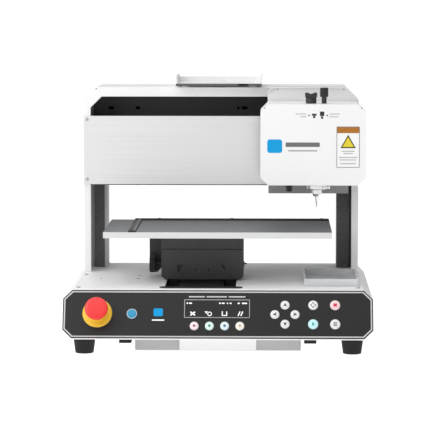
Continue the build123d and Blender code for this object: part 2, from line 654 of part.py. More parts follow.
with BuildPart() as pressure_adjuster_knob:
    post(ADJUSTER_X, KNOB_DEPTH, (368, 391), 4)
    post(ADJUSTER_X, KNOB_DEPTH, (390.4, 405), 6.6)
    chamfer(pressure_adjuster_knob.edges().filter_by(GeomType.CIRCLE).sort_by(Axis.Z)[-1], 0.8)
keep(pressure_adjuster_knob, "pressure_adjuster_knob")


# ---- lift, saddle and table ---------------------------------------------------------------------
def lift_block(x, across, z, mode=Mode.ADD):
    """A block placed from the middle of the lift: X span, half width in Y, heights."""
    block((LIFT_X + x[0], LIFT_X + x[1]), (LIFT_DEPTH - across, LIFT_DEPTH + across), z, mode)


with BuildPart() as y_screw:
    bar_y(Y_SCREW_X, (20, 321), Y_SCREW_Z, SCREW_R)
keep(y_screw, "y_screw")

with BuildPart() as y_bearing_blocks:
    for x in ROD_XS:
        block((x - 8, x + 8), Y_BLOCKS, (63, LIFT_BASE_Z))
        bar_y(x, (Y_BLOCKS[0] - 1, Y_BLOCKS[1] + 1), ROD_Z, ROD_R + RUN_GAP, Mode.SUBTRACT)
    block((ROD_XS[0] + 8, ROD_XS[1] - 8), (150, 184), (59, 79))
    bar_y(Y_SCREW_X, (149, 185), Y_SCREW_Z, SCREW_R + RUN_GAP, Mode.SUBTRACT)
keep(y_bearing_blocks, "y_bearing_blocks")

inner_x, inner_y = LIFT_HALF_X - LIFT_WALL, LIFT_HALF_Y - LIFT_WALL
SIDE_PLATE = (184.0, 194.0)  # depths of the side plate
with BuildPart() as lift_base_box:
    lift_block((-LIFT_HALF_X, LIFT_HALF_X), LIFT_HALF_Y, (LIFT_BASE_Z, LIFT_SEAM_Z))
    chamfer(lift_base_box.faces().sort_by(Axis.Z)[0].edges().filter_by(Axis.Y), 5)
    lift_block((-inner_x, inner_x), inner_y, (LIFT_FLOOR, LIFT_SEAM_Z + 1), Mode.SUBTRACT)
    bar_x((LIFT_X - 80, LIFT_X + 80), LIFT_DEPTH, LIFT_SCREW_Z, SCREW_R + RUN_GAP, Mode.SUBTRACT)
    # windows in the front that show the wedges, and two small holes between them
    with BuildSketch(wall(LIFT_DEPTH - LIFT_HALF_Y)):
        with Locations((LIFT_X, 0)):
            outline((-40.3, 122.4), (-30.6, 122.4), (-36.5, 112.2), (-39.5, 112.2))
            outline((30.1, 122.4), (35.2, 122.4), (36.4, 112.2))
        with Locations((LIFT_X - 10.6, 114.8), (LIFT_X + 9.8, 114.8)):
            Circle(1.5)
    extrude(amount=-LIFT_WALL, mode=Mode.SUBTRACT)
    # the side plate behind the hand screw's knob
    left = LIFT_X - LIFT_HALF_X
    with BuildSketch(wall(SIDE_PLATE[0])):
        outline((left, 113), (left - 9, 103), (left - 22, 103), (left - 22, LIFT_TOP_Z - 0.6),
                (left - 0.4, LIFT_TOP_Z - 0.6), (left - 0.4, LIFT_SEAM_Z), (left, LIFT_SEAM_Z))
    extrude(amount=SIDE_PLATE[0] - SIDE_PLATE[1])
keep(lift_base_box, "lift_base_box")


def make_wedge(sign):
    """A wedge that rises away from the middle of the lift, bored for the hand screw."""
    rise, wedge_low = 12.0, LIFT_FLOOR + 0.3
    with BuildPart() as wedge:
        with BuildSketch(wall(LIFT_DEPTH - 38)):
            outline((LIFT_X + sign * WEDGE_IN, wedge_low), (LIFT_X + sign * WEDGE_IN, WEDGE_NOSE_Z),
                    (LIFT_X + sign * (WEDGE_IN + rise), WEDGE_NOSE_Z + rise),
                    (LIFT_X + sign * WEDGE_OUT, WEDGE_NOSE_Z + rise), (LIFT_X + sign * WEDGE_OUT, wedge_low))
        extrude(amount=-76)
        bar_x((LIFT_X - 60, LIFT_X + 60), LIFT_DEPTH, LIFT_SCREW_Z, SCREW_R + RUN_GAP, Mode.SUBTRACT)
    return wedge


keep(make_wedge(-1), "lift_wedge_left")
keep(make_wedge(1), "lift_wedge_right")

with BuildPart() as lift_hand_screw:
    bar_x((-112, 39.5), LIFT_DEPTH, LIFT_SCREW_Z, SCREW_R)
    bar_x((39.5, 43), LIFT_DEPTH, LIFT_SCREW_Z, 1.3)
    bar_x((-114, -104), LIFT_DEPTH, LIFT_SCREW_Z, 14.6)
    fillet(lift_hand_screw.edges().filter_by(GeomType.CIRCLE).sort_by(Axis.X)[0], 1.5)
keep(lift_hand_screw, "lift_hand_screw")

skirt_x, skirt_y, skirt_wall = inner_x - 0.3, inner_y - 0.3, 2.7
with BuildPart() as lift_top_box:
    lift_block((-LIFT_HALF_X, LIFT_HALF_X), LIFT_HALF_Y, (LIFT_SEAM_Z + 0.6, LIFT_TOP_Z))
    lift_block((-skirt_x, skirt_x), skirt_y, (112, LIFT_SEAM_Z + 1))
    hollow_x, hollow_y = skirt_x - skirt_wall, skirt_y - skirt_wall
    lift_block((-hollow_x, hollow_x), hollow_y, (111, 165), Mode.SUBTRACT)
    for sign in (-1, 1):
        with BuildSketch(wall(LIFT_DEPTH - 38)):
            lift_low = WEDGE_NOSE_Z + RAMP_GAP - WEDGE_IN
            outline((LIFT_X + sign * RAMP_IN, lift_low + RAMP_IN),
                    (LIFT_X + sign * RAMP_OUT, lift_low + RAMP_OUT),
                    (LIFT_X + sign * RAMP_OUT, 166), (LIFT_X + sign * RAMP_IN, 166))
        extrude(amount=-76)
    # room for the hand screw through the ramps and the skirt
    lift_block((-skirt_x - 1, skirt_x + 1), 6.2, (100, 126), Mode.SUBTRACT)
keep(lift_top_box, "lift_top_box")

with BuildPart() as work_table:
    block((TABLE_LEFT, TABLE_RIGHT), (TABLE_FRONT, TABLE_REAR), (LIFT_TOP_Z, TABLE_TOP))
    chamfer(work_table.faces().sort_by(Axis.Z)[-1].edges(), 0.6)
    # the rebates that the rulers are let into
    seat = (TABLE_TOP - RULER_REBATE, TABLE_TOP + 1)
    block((RULER_LEFT - 0.2, RULER_RIGHT + 0.2), (TABLE_FRONT - 1, TABLE_REAR + 1), seat, Mode.SUBTRACT)
    block((RULER_LEFT, TABLE_RIGHT + 1), (RULER_FRONT - 0.2, TABLE_REAR + 1), seat, Mode.SUBTRACT)
keep(work_table, "work_table")

with BuildPart() as table_rulers:
    thick = (TABLE_TOP - RULER_REBATE, TABLE_TOP + RULER_PROUD)
    block((RULER_LEFT, RULER_RIGHT), (TABLE_FRONT + 0.3, TABLE_REAR - 1), thick)
    block((RULER_LEFT, TABLE_RIGHT - 0.5), (RULER_FRONT, TABLE_REAR - 1), thick)
keep(table_rulers, "table_rulers")
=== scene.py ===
"""Looks for a desktop engraving machine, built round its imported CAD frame.

Lengths are in metres. +X is the operator's right, +Y is away from the operator, +Z is up.
"""

import json
import math

import bmesh
import bpy
from mathutils import Matrix, Vector


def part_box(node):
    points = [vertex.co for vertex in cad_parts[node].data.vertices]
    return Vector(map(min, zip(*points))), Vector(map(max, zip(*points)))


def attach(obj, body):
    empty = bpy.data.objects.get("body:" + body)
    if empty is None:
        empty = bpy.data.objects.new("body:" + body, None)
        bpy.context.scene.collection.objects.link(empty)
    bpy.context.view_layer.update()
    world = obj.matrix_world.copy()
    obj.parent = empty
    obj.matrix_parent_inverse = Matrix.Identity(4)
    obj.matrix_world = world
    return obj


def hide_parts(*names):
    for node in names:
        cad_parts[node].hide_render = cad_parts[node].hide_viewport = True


bl_info = {
    "name": "Desktop engraving machine",
    "version": (1, 0, 0),
    "blender": (4, 5, 0),
    "location": "View3D > Sidebar > Engraver",
    "description": "Builds the visible pieces and finishes of a desktop engraving machine",
    "category": "Add Mesh",
}

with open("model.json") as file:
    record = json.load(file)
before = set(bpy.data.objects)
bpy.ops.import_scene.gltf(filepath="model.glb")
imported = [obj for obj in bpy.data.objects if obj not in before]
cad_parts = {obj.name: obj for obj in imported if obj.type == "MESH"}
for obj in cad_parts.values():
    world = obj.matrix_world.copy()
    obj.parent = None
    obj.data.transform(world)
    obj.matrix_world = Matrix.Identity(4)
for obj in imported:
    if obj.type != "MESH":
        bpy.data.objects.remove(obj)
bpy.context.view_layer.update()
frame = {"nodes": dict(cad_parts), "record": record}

MM = 0.001
ROOT = "machine_frame"
LEAN = math.radians(25)  # the control panel leans back this far
RIGHT, UP = Vector((1, 0, 0)), Vector((0, 0, 1))
FACING = Vector((0, -math.cos(LEAN), math.sin(LEAN)))  # out of the control panel
UPHILL = Vector((0, math.sin(LEAN), math.cos(LEAN)))  # up its slope
NODE_BODY = {node: body for body, nodes in frame["record"]["behaviour"]["bodies"].items() for node in nodes}
NODE_SLOT = {row["node"]: row["material_slot"] for row in frame["record"]["subparts"]}
KEY_NODES = [node for node in NODE_BODY if node.endswith("_button") or node.startswith("soft_key")]


# ---- places, read from the CAD frame --------------------------------------------------------------
def low_high(node):
    """A node's two corners as vectors."""
    low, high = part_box(node)
    return Vector(low), Vector(high)


def middle_of(node):
    """The middle of a node's box."""
    low, high = low_high(node)
    return (low + high) / 2


def placed(origin, right, up):
    """A matrix whose X is right and Y is up, standing at origin; its Z faces out."""
    out = right.cross(up)
    return Matrix.Translation(origin) @ Matrix((right, up, out)).transposed().to_4x4()


def facing_operator(x, y, z):
    """A matrix at a point, with Z towards the operator."""
    return placed(Vector((x, y, z)), RIGHT, UP)


def front_of(node, x, z):
    """A matrix on the side of a node that faces the operator."""
    return facing_operator(x, low_high(node)[0].y, z)


def on_panel(x, up, out=0.0):
    """A matrix on the control panel's face: metres right of its middle, and up its slope."""
    centre = middle_of("control_panel") + FACING * (1.5 * MM)
    return placed(centre + Vector((x, 0, 0)) + UPHILL * up + FACING * out, RIGHT, UPHILL)


def face_centre(node):
    """Where a control's outermost face has its centre, on the slope of the panel."""
    points = [v.co for v in frame["nodes"][node].data.vertices]
    reach = max(p.dot(FACING) for p in points)
    top = [p for p in points if p.dot(FACING) > reach - 0.05 * MM]
    return sum(top, Vector()) / len(top)


def on_control(node):
    """A matrix on the outer face of a button."""
    return placed(face_centre(node), RIGHT, UPHILL)


# ---- finishes -------------------------------------------------------------------------------------
class Link:
    """The output of a shader node, with the sums and products that finishes need."""

    def __init__(self, finish, socket):
        self.finish, self.socket = finish, socket

    def math(self, operation, first, second=0.0):
        return self.finish.node("ShaderNodeMath", {"operation": operation}, {0: first, 1: second})

    def __add__(self, other):
        return self.math("ADD", self, other)

    def __radd__(self, other):
        return self.math("ADD", other, self)

    def __sub__(self, other):
        return self.math("SUBTRACT", self, other)

    def __rsub__(self, other):
        return self.math("SUBTRACT", other, self)

    def __mul__(self, other):
        return self.math("MULTIPLY", self, other)

    def __rmul__(self, other):
        return self.math("MULTIPLY", other, self)

    def above(self, limit):
        """1 where the value is over the limit, 0 elsewhere."""
        return self.math("GREATER_THAN", self, limit)

    def below(self, limit):
        """1 where the value is under the limit, 0 elsewhere."""
        return self.math("LESS_THAN", self, limit)


class Finish:
    """A material on one Principled shader."""

    made = {}

    def __init__(self, name, **constants):
        self.material = bpy.data.materials.new(name)
        self.material.use_nodes = True
        self.tree = self.material.node_tree
        self.shader = self.tree.nodes["Principled BSDF"]
        for socket, value in constants.items():
            self.shader.inputs[socket.replace("_", " ")].default_value = value
        Finish.made[name] = self.material

    def feed(self, socket, value):
        """Puts a number, a colour or a link into a socket."""
        if isinstance(value, Link):
            self.tree.links.new(value.socket, socket)
        else:
            socket.default_value = value

    def node(self, kind, settings, sockets, output=0):
        """Adds a node: its settings first, then the values or links of its sockets."""
        made = self.tree.nodes.new(kind)
        stops = settings.pop("stops", None) if "stops" in settings else None
        for name, value in settings.items():
            setattr(made, name, value)
        if stops:
            ramp = made.color_ramp
            for element, (place, colour) in zip(
                    [ramp.elements[0], ramp.elements[1]] + [ramp.elements.new(p) for p, _ in stops[2:]],
                    stops):
                element.position, element.color = place, colour
        for name, value in sockets.items():
            self.feed(made.inputs[name], value)
        return Link(self, made.outputs[output])

    def set(self, socket, value):
        """Feeds one of the shader's own sockets."""
        self.feed(self.shader.inputs[socket], value)

    def place(self, scale=(1, 1, 1)):
        """Object coordinates, stretched by scale."""
        coordinates = self.node("ShaderNodeTexCoord", {}, {}, 3)
        return self.node("ShaderNodeMapping", {}, {"Vector": coordinates, "Scale": scale})

    def axis(self, index):
        """One of the object coordinates, as a number in metres."""
        coordinates = self.node("ShaderNodeTexCoord", {}, {}, 3)
        return self.node("ShaderNodeSeparateXYZ", {}, {0: coordinates}, index)

    def noise(self, scale, detail=3.0, roughness=0.5, stretch=(1, 1, 1)):
        """A noise pattern between 0 and 1, in object coordinates."""
        return self.node("ShaderNodeTexNoise", {}, {"Vector": self.place(stretch), "Scale": scale,
                                                   "Detail": detail, "Roughness": roughness})

    def mix(self, share, first, second):
        """A colour between two colours."""
        return self.node("ShaderNodeMix", {"data_type": "RGBA"}, {0: share, 6: first, 7: second}, 2)

    def bump(self, height, strength, distance):
        """Feeds a height pattern to the surface's normal."""
        self.set("Normal", self.node("ShaderNodeBump", {}, {"Strength": strength, "Distance": distance,
                                                            "Height": height}))


def rgba(colour, gain=1.0):
    """A colour property as four numbers, made lighter or darker by gain."""
    return tuple(min(1.0, c * gain) for c in colour[:3]) + (1.0,)


def powder_coat(name, colour, roughness=0.45, grain=900.0, relief=0.12, mottle=0.03):
    """Baked powder paint: fine orange peel and a slight unevenness."""
    finish = Finish(name)
    wide = finish.noise(14.0, 2.0)
    fine = finish.noise(grain, 2.0)
    finish.set("Base Color", finish.mix(wide, rgba(colour, 1 - mottle), rgba(colour, 1 + mottle)))
    finish.set("Roughness", wide * 0.08 + fine * 0.06 + (roughness - 0.07))
    finish.bump(fine, relief, 0.0002)
    return finish


def textured_coat(name, colour, inner=None, edge=None):
    """Coarse wrinkle paint, with painted light on the left upright: a light grey on its inner side and its
    outer strip, which stay dark on the right upright.
    """
    finish = Finish(name)
    lumps = finish.noise(420.0, 4.0, 0.6)
    shade = finish.mix(lumps, rgba(colour, 0.55), rgba(colour, 1.6))
    # painted light: the left upright's inner side and outer strip are lightened by their X, the right
    # upright's stay dark
    if inner:
        across = finish.axis(0)
        painted_light_side = across.above(-edge) * across.below(0.0)
        shade = finish.mix(painted_light_side, shade, rgba(inner))
        shade = finish.mix(across.below(-0.2127), shade, rgba(inner))
    finish.set("Base Color", shade)
    finish.set("Roughness", lumps * 0.2 + 0.5)
    finish.bump(lumps, 0.45, 0.0006)
    return finish


def brushed(name, colour, along=0, roughness=0.34, metallic=1.0, contrast=0.10, relief=0.08):
    """Brushed metal with fine lines along one axis."""
    finish = Finish(name, Metallic=metallic)
    stretch = [700.0, 700.0, 700.0]
    stretch[along] = 4.0
    lines = finish.noise(1.0, 3.0, 0.6, tuple(stretch))
    wide = finish.noise(9.0, 2.0)
    finish.set("Base Color", finish.mix(lines, rgba(colour, 1 - contrast), rgba(colour, 1 + contrast)))
    finish.set("Roughness", lines * 0.14 + wide * 0.06 + (roughness - 0.1))
    finish.bump(lines, relief, 0.0001)
    return finish


def anodised(name, colour, roughness=0.42, grain=1500.0):
    """Bead-blasted and anodised aluminium."""
    finish = Finish(name, Metallic=0.35)
    fine = finish.noise(grain, 2.0)
    wide = finish.noise(20.0, 2.0)
    finish.set("Base Color", finish.mix(wide, rgba(colour, 0.85), rgba(colour, 1.2)))
    finish.set("Roughness", fine * 0.1 + wide * 0.06 + (roughness - 0.08))
    finish.bump(fine, 0.10, 0.0001)
    return finish


def moulded(name, colour, roughness=0.32, relief=0.05, **constants):
    """Moulded plastic with a faint spark texture."""
    finish = Finish(name, **constants)
    fine = finish.noise(1800.0, 2.0)
    wide = finish.noise(40.0, 2.0)
    finish.set("Base Color", finish.mix(wide, rgba(colour, 0.96), rgba(colour, 1.04)))
    finish.set("Roughness", fine * 0.08 + (roughness - 0.04))
    finish.bump(fine, relief, 0.0001)
    return finish


def ink(name, colour, roughness=0.5, glow=0.0):
    """Printed ink, or a lit sign if glow is over 0."""
    finish = Finish(name, Emission_Strength=glow)
    finish.set("Specular IOR Level", 0.25)
    patchy = finish.noise(600.0, 2.0)
    shade = finish.mix(patchy, rgba(colour, 0.95), rgba(colour, 1.03))
    finish.set("Base Color", shade)
    finish.set("Roughness", patchy * 0.1 + (roughness - 0.05))
    if glow:
        finish.set("Emission Color", shade)
    return finish


def pearl_key(name, colour):
    """A pearly key cap, lighter in its middle, with a faint painted glow in its own tint."""
    # painted light: a faint glow in the cap's own tint brightens it
    finish = Finish(name, Coat_Weight=0.25, Coat_Roughness=0.12, Emission_Strength=0.05)
    wide = finish.noise(300.0, 2.0)
    shade = finish.mix(wide, rgba(colour, 0.94), rgba(colour, 1.05))
    finish.set("Base Color", shade)
    finish.set("Emission Color", shade)
    finish.set("Roughness", wide * 0.08 + 0.28)
    return finish


def acrylic(name, tint):
    """Clear polished sheet with a slight frost."""
    finish = Finish(name, Transmission_Weight=0.3, IOR=1.49)
    haze = finish.noise(60.0, 3.0)
    finish.set("Base Color", finish.mix(haze, rgba(tint, 0.97), rgba(tint, 1.03)))
    finish.set("Roughness", haze * 0.1 + 0.2)
    return finish


def make_finishes(colours):
    """Every material of the machine, from its colour settings."""
    white, black = colours.casework, colours.ironwork
    powder_coat("white_coat", white)
    # painted light: the base gets a lighter white than the casework white of portal and head
    powder_coat("base_coat_painted_light", colours.base)
    powder_coat("head_coat", white, 0.40, mottle=0.015)
    # partly painted shade: the dark grey of the shelf's front strip
    powder_coat("strip_coat_and_shade", (0.09, 0.09, 0.09), 0.5)
    # painted shade: a darker white for the sheet behind the head
    powder_coat("carriage_shaded_coat", colours.carriage_cover, 0.45)
    pan_finish(colours)
    powder_coat("panel_coat", colours.panel, 0.42, 1600.0, 0.06).set("Specular IOR Level", 0.38)
    # painted light on the left upright's inner side and outer strip
    textured_coat("column_coat", colours.column, colours.column_painted_light, 0.1955)
    brushed("beam_brushed", colours.beam, 0, 0.42)
    brushed("steel_ground", colours.steel, 0, 0.3)
    brushed("carriage_brushed", colours.carriage, 0, 0.4, 0.9)
    brushed("nose_turned", colours.nose, 2, 0.32, 0.85)
    anodised("black_anodised", black)
    anodised("lift_anodised", colours.lift, 0.46)
    powder_coat("lining_coat", (0.075, 0.075, 0.075), 0.7, relief=0.05).set("Specular IOR Level", 0.2)
    # painted shade: near-black marks that stand for holes and slots
    ink("hole_shade", (0.002, 0.002, 0.002), 0.9).set("Specular IOR Level", 0.05)
    # painted highlight: a light, half-metallic finish makes the rods show bright lines in the dark slot
    brushed("rod_chrome_painted_highlight", colours.rods, 1, 0.3, 0.5)
    # painted highlight: a light, mostly diffuse finish makes the wedges show bright in the lift's windows
    brushed("wedge_steel_painted_highlight", colours.rods, 2, 0.3, 0.2)
    moulded("black_moulding", black, 0.4, 0.08)
    moulded("pointer_moulding", (0.07, 0.07, 0.07), 0.45, 0.08)
    moulded("red_moulding", colours.stop_red, 0.36, 0.02, Coat_Weight=0.1)
    moulded("yellow_moulding", colours.stop_yellow, 0.38, 0.02)
    moulded("board_lacquer", (0.02, 0.16, 0.06), 0.3)
    moulded("screen_window", (0.012, 0.012, 0.013), 0.3, 0.0).set("Specular IOR Level", 0.35)
    ink("silver_ink", (0.60, 0.60, 0.60), 0.35)
    # glows; on the panel emblem's printed bar the glow is painted light
    ink("white_ink", (0.88, 0.88, 0.88), 0.5, 0.25)
    # grey print; on the relief holes it is painted shade
    ink("grey_ink_and_hole_shade", (0.16, 0.16, 0.17))
    ink("pale_ink", (0.42, 0.42, 0.43))
    ink("dark_ink", (0.035, 0.035, 0.035))
    ink("blue_ink", colours.emblem)
    ink("orange_ink", (0.42, 0.16, 0.025))
    ink("yellow_ink", (0.75, 0.62, 0.04))
    ink("olive_ink", (0.10, 0.085, 0.01))
    ink("label_ink", (0.88, 0.88, 0.88))
    ink("teal_ink", (0.03, 0.36, 0.34))
    ink("red_ink", (0.70, 0.05, 0.10))
    ink("green_ink", (0.03, 0.28, 0.14))
    ink("navy_ink", (0.05, 0.14, 0.25))
    ink("rose_ink", (0.30, 0.08, 0.12))
    ink("sand_ink", (0.55, 0.42, 0.30))
    for tint, colour in KEY_TINTS.items():
        pearl_key(f"key_{tint}", colour)
    # painted shade on the keys' edges
    moulded("key_edge_shade", (0.36, 0.36, 0.37), 0.3, 0.02)
    acrylic("clear_acrylic", (0.88, 0.89, 0.91))
    rubber = powder_coat("rubber", (0.014, 0.014, 0.014), 0.7, 700.0, 0.3, 0.1)
    rubber.set("Specular IOR Level", 0.3)
    table_finish(colours)


def pan_finish(colours):
    """The grey pan, with the white plate on the middle of its front."""
    finish = powder_coat("pan_coat", colours.pan, 0.5)
    mottle = finish.noise(14.0, 2.0)
    grey = finish.mix(mottle, rgba(colours.pan, 0.97), rgba(colours.pan, 1.03))
    on_front = finish.axis(1).below(low_high("belly_pan")[0].y + 2.5 * MM)
    finish.set("Base Color", finish.mix(on_front, grey, rgba(colours.casework)))


def table_finish(colours):
    """The table: a dark milled top, and light edges where the plate is cut."""
    finish = Finish("table_metal", Metallic=0.55)
    top = low_high("work_table")[1].z - 0.4 * MM
    lines = finish.noise(1.0, 3.0, 0.6, (5.0, 800.0, 800.0))
    wide = finish.noise(7.0, 2.0)
    face = finish.mix(lines, rgba(colours.table_top, 0.88), rgba(colours.table_top, 1.14))
    finish.set("Base Color", finish.mix(finish.axis(2).above(top), rgba(colours.table_edge), face))
    finish.set("Roughness", lines * 0.12 + wide * 0.08 + 0.32)
    finish.bump(lines, 0.06, 0.0001)


KEY_TINTS = {
    "plain": (0.78, 0.78, 0.78),
    "rose": (0.86, 0.74, 0.76),
    "mint": (0.68, 0.86, 0.80),
    "sky": (0.72, 0.82, 0.88),
    "cream": (0.86, 0.83, 0.75),
    "cyan": (0.55, 0.86, 0.92),
    "pink": (0.88, 0.64, 0.66),
    "power": (0.03, 0.29, 0.56),
}


# ---- meshes ---------------------------------------------------------------------------------------
def finish_piece(name, bm, material, body, slot, placing=None, smooth=35.0, weighted=False):
    """Turns a bmesh into a named piece that rides on a body."""
    bmesh.ops.recalc_face_normals(bm, faces=bm.faces)
    if placing is not None:
        bmesh.ops.transform(bm, matrix=placing, verts=bm.verts)
    mesh = bpy.data.meshes.new(name)
    bm.to_mesh(mesh)
    bm.free()
    mesh.shade_smooth()
    mesh.set_sharp_from_angle(angle=math.radians(smooth))
    piece = bpy.data.objects.new(name, mesh)
    bpy.context.scene.collection.objects.link(piece)
    mesh.materials.append(Finish.made[material])
    if weighted:
        steady = piece.modifiers.new("even_shading", "WEIGHTED_NORMAL")
        steady.keep_sharp = True
    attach(piece, body)
    return piece


def for_node(name, bm, material, node, placing=None, **shading):
    """A piece that stands for one CAD node and rides with it."""
    piece = finish_piece(name, bm, material, NODE_BODY[node], NODE_SLOT[node], placing, **shading)
    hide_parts(node)
    return piece


def bevel(bm, width, segments=3, angle=30.0):
    """Rounds every edge that turns more than the angle."""
    limit = math.radians(angle)
    sharp = [e for e in bm.edges if len(e.link_faces) == 2 and e.calc_face_angle(0.0) > limit]
    bmesh.ops.bevel(bm, geom=sharp, offset=width, offset_type="OFFSET", segments=segments, profile=0.5,
                    affect="EDGES", clamp_overlap=True, material=-1)


def cad_copy(node):
    """A CAD node's mesh, merged, with its flat sides made whole."""
    bm = bmesh.new()
    bm.from_mesh(frame["nodes"][node].data)
    bmesh.ops.remove_doubles(bm, verts=bm.verts, dist=0.002 * MM)
    bmesh.ops.dissolve_limit(bm, angle_limit=math.radians(0.5), verts=bm.verts, edges=bm.edges)
    return bm


def softened(node, material, width, segments=3, angle=30.0):
    """The CAD node again, with rounded edges, in place of the sharp one."""
    bm = cad_copy(node)
    bevel(bm, width, segments, angle)
    return for_node(f"{node}_shell", bm, material, node, weighted=True)


def dress(node, material):
    """Gives a CAD node that stays its finish."""
    for place in frame["nodes"][node].material_slots:
        place.material = Finish.made[material]


def revolve(bm, profile, steps=64):
    """Turns a profile of (radius, height) points about Z. It starts and ends on the axis or closes."""
    points = [bm.verts.new((r, 0, h)) for r, h in profile]
    edges = [bm.edges.new(pair) for pair in zip(points, points[1:])]
    bmesh.ops.spin(bm, geom=points + edges, cent=(0, 0, 0), axis=(0, 0, 1), angle=2 * math.pi,
                   steps=steps, use_merge=True)
    bmesh.ops.remove_doubles(bm, verts=bm.verts, dist=1e-7)


def raise_outlines(bm, outlines, height, base=0.0):
    """Makes flat outlines, in metres, into low solid shapes."""
    for points in outlines:
        face = bm.faces.new([bm.verts.new((x, y, base)) for x, y in points])
        raised = bmesh.ops.extrude_face_region(bm, geom=[face])
        corners = [v for v in raised["geom"] if isinstance(v, bmesh.types.BMVert)]
        bmesh.ops.translate(bm, vec=(0, 0, height), verts=corners)


def inset_outline(points, width):
    """An anticlockwise outline moved inwards by this width."""
    moved = []
    for i, point in enumerate(points):
        here = Vector(point)
        first = (here - Vector(points[i - 1])).normalized()
        second = (Vector(points[(i + 1) % len(points)]) - here).normalized()
        inwards = Vector((-first.y - second.y, first.x + second.x)).normalized()
        moved.append(here + inwards * (width / inwards.dot(Vector((-first.y, first.x)))))
    return [(v.x, v.y) for v in moved]


def join_loops(bm, loops, closed=False):
    """Faces between loops of corners that follow one another."""
    pairs = list(zip(loops, loops[1:])) + ([(loops[-1], loops[0])] if closed else [])
    for first, second in pairs:
        for i in range(len(first)):
            j = (i + 1) % len(first)
            bm.faces.new((first[i], first[j], second[j], second[i]))


def raise_ring(bm, points, width, height, base=0.0):
    """Makes the border of an anticlockwise outline, this wide, into a low solid frame."""
    inner = inset_outline(points, width)
    top = base + height
    loops = [[bm.verts.new((x, y, z)) for x, y in line]
             for line, z in ((points, base), (points, top), (inner, top), (inner, base))]
    join_loops(bm, loops, closed=True)


def block(bm, low, high):
    """A box between two corners."""
    size = Vector(high) - Vector(low)
    centre = (Vector(high) + Vector(low)) / 2
    bmesh.ops.create_cube(bm, size=1.0, matrix=Matrix.Translation(centre) @ Matrix.Diagonal(size).to_4x4())


def oblong(x, y, wide, high):
    """A rectangle's corners round a middle."""
    return [(x - wide / 2, y - high / 2), (x + wide / 2, y - high / 2),
            (x + wide / 2, y + high / 2), (x - wide / 2, y + high / 2)]


def round_outline(x, y, radius, steps=32):
    """A circle's corners."""
    return [(x + radius * math.cos(2 * math.pi * i / steps), y + radius * math.sin(2 * math.pi * i / steps))
            for i in range(steps)]


def soft_oblong(x, y, wide, high, radius, steps=5):
    """A rectangle with rounded corners."""
    points = []
    for quarter, (sx, sy) in enumerate(((1, 1), (-1, 1), (-1, -1), (1, -1))):
        for i in range(steps + 1):
            turn = math.radians(90) * (quarter + i / steps)
            points.append((x + sx * (wide / 2 - radius) + radius * math.cos(turn),
                           y + sy * (high / 2 - radius) + radius * math.sin(turn)))
    return points


def scaled(points, factor=MM, x=0.0, y=0.0, turn=0.0):
    """Outline points in millimetres, turned and moved, in metres."""
    c, s = math.cos(turn), math.sin(turn)
    return [((px * c - py * s) * factor + x, (px * s + py * c) * factor + y) for px, py in points]


def print_piece(name, outlines, material, body, slot, placing, height=0.12 * MM):
    """A thin printed or inlaid mark."""
    bm = bmesh.new()
    raise_outlines(bm, outlines, height)
    return finish_piece(name, bm, material, body, slot, placing)


def socket_screw(bm, radius, height, placing):
    """A cap screw's head with its hexagonal socket."""
    head = bmesh.new()
    revolve(head, [(0, height * 0.35), (radius * 0.5, height * 0.35), (radius * 0.5, height),
                   (radius * 0.86, height), (radius, height * 0.82), (radius, 0), (0, 0)], 24)
    bmesh.ops.transform(head, matrix=placing, verts=head.verts)
    mesh = bpy.data.meshes.new("screw_head")
    head.to_mesh(mesh)
    head.free()
    bm.from_mesh(mesh)
    bpy.data.meshes.remove(mesh)


# ---- settings -------------------------------------------------------------------------------------
class EngraverSizes(bpy.types.PropertyGroup):
    """Sizes that change the look and not the mechanism."""

    case_round: bpy.props.FloatProperty(
        name="Case rounding", description="Radius of the folded sheet metal's edges",
        default=0.9 * MM, min=0.1 * MM, max=1.4 * MM, unit="LENGTH")
    head_round: bpy.props.FloatProperty(
        name="Head rounding", description="Radius of the head cover's edges",
        default=1.1 * MM, min=0.1 * MM, max=1.2 * MM, unit="LENGTH")
    metal_round: bpy.props.FloatProperty(
        name="Machined rounding", description="Radius of the machined parts' edges",
        default=0.5 * MM, min=0.1 * MM, max=1.0 * MM, unit="LENGTH")
    key_dome: bpy.props.FloatProperty(
        name="Key dome", description="How far a key's middle stands above its rim",
        default=0.9 * MM, min=0.2 * MM, max=1.5 * MM, unit="LENGTH")
    trim_width: bpy.props.FloatProperty(
        name="Trim width", description="Width of the silver line round the control panel",
        default=2.0 * MM, min=0.5 * MM, max=3 * MM, unit="LENGTH")
    tick_pitch: bpy.props.FloatProperty(
        name="Ruler pitch", description="Distance between the rulers' marks",
        default=2 * MM, min=1 * MM, max=10 * MM, unit="LENGTH")


def colour_property(name, description, default):
    """A colour setting."""
    return bpy.props.FloatVectorProperty(name=name, description=description, default=default,
                                         subtype="COLOR", size=3, min=0.0, max=1.0)


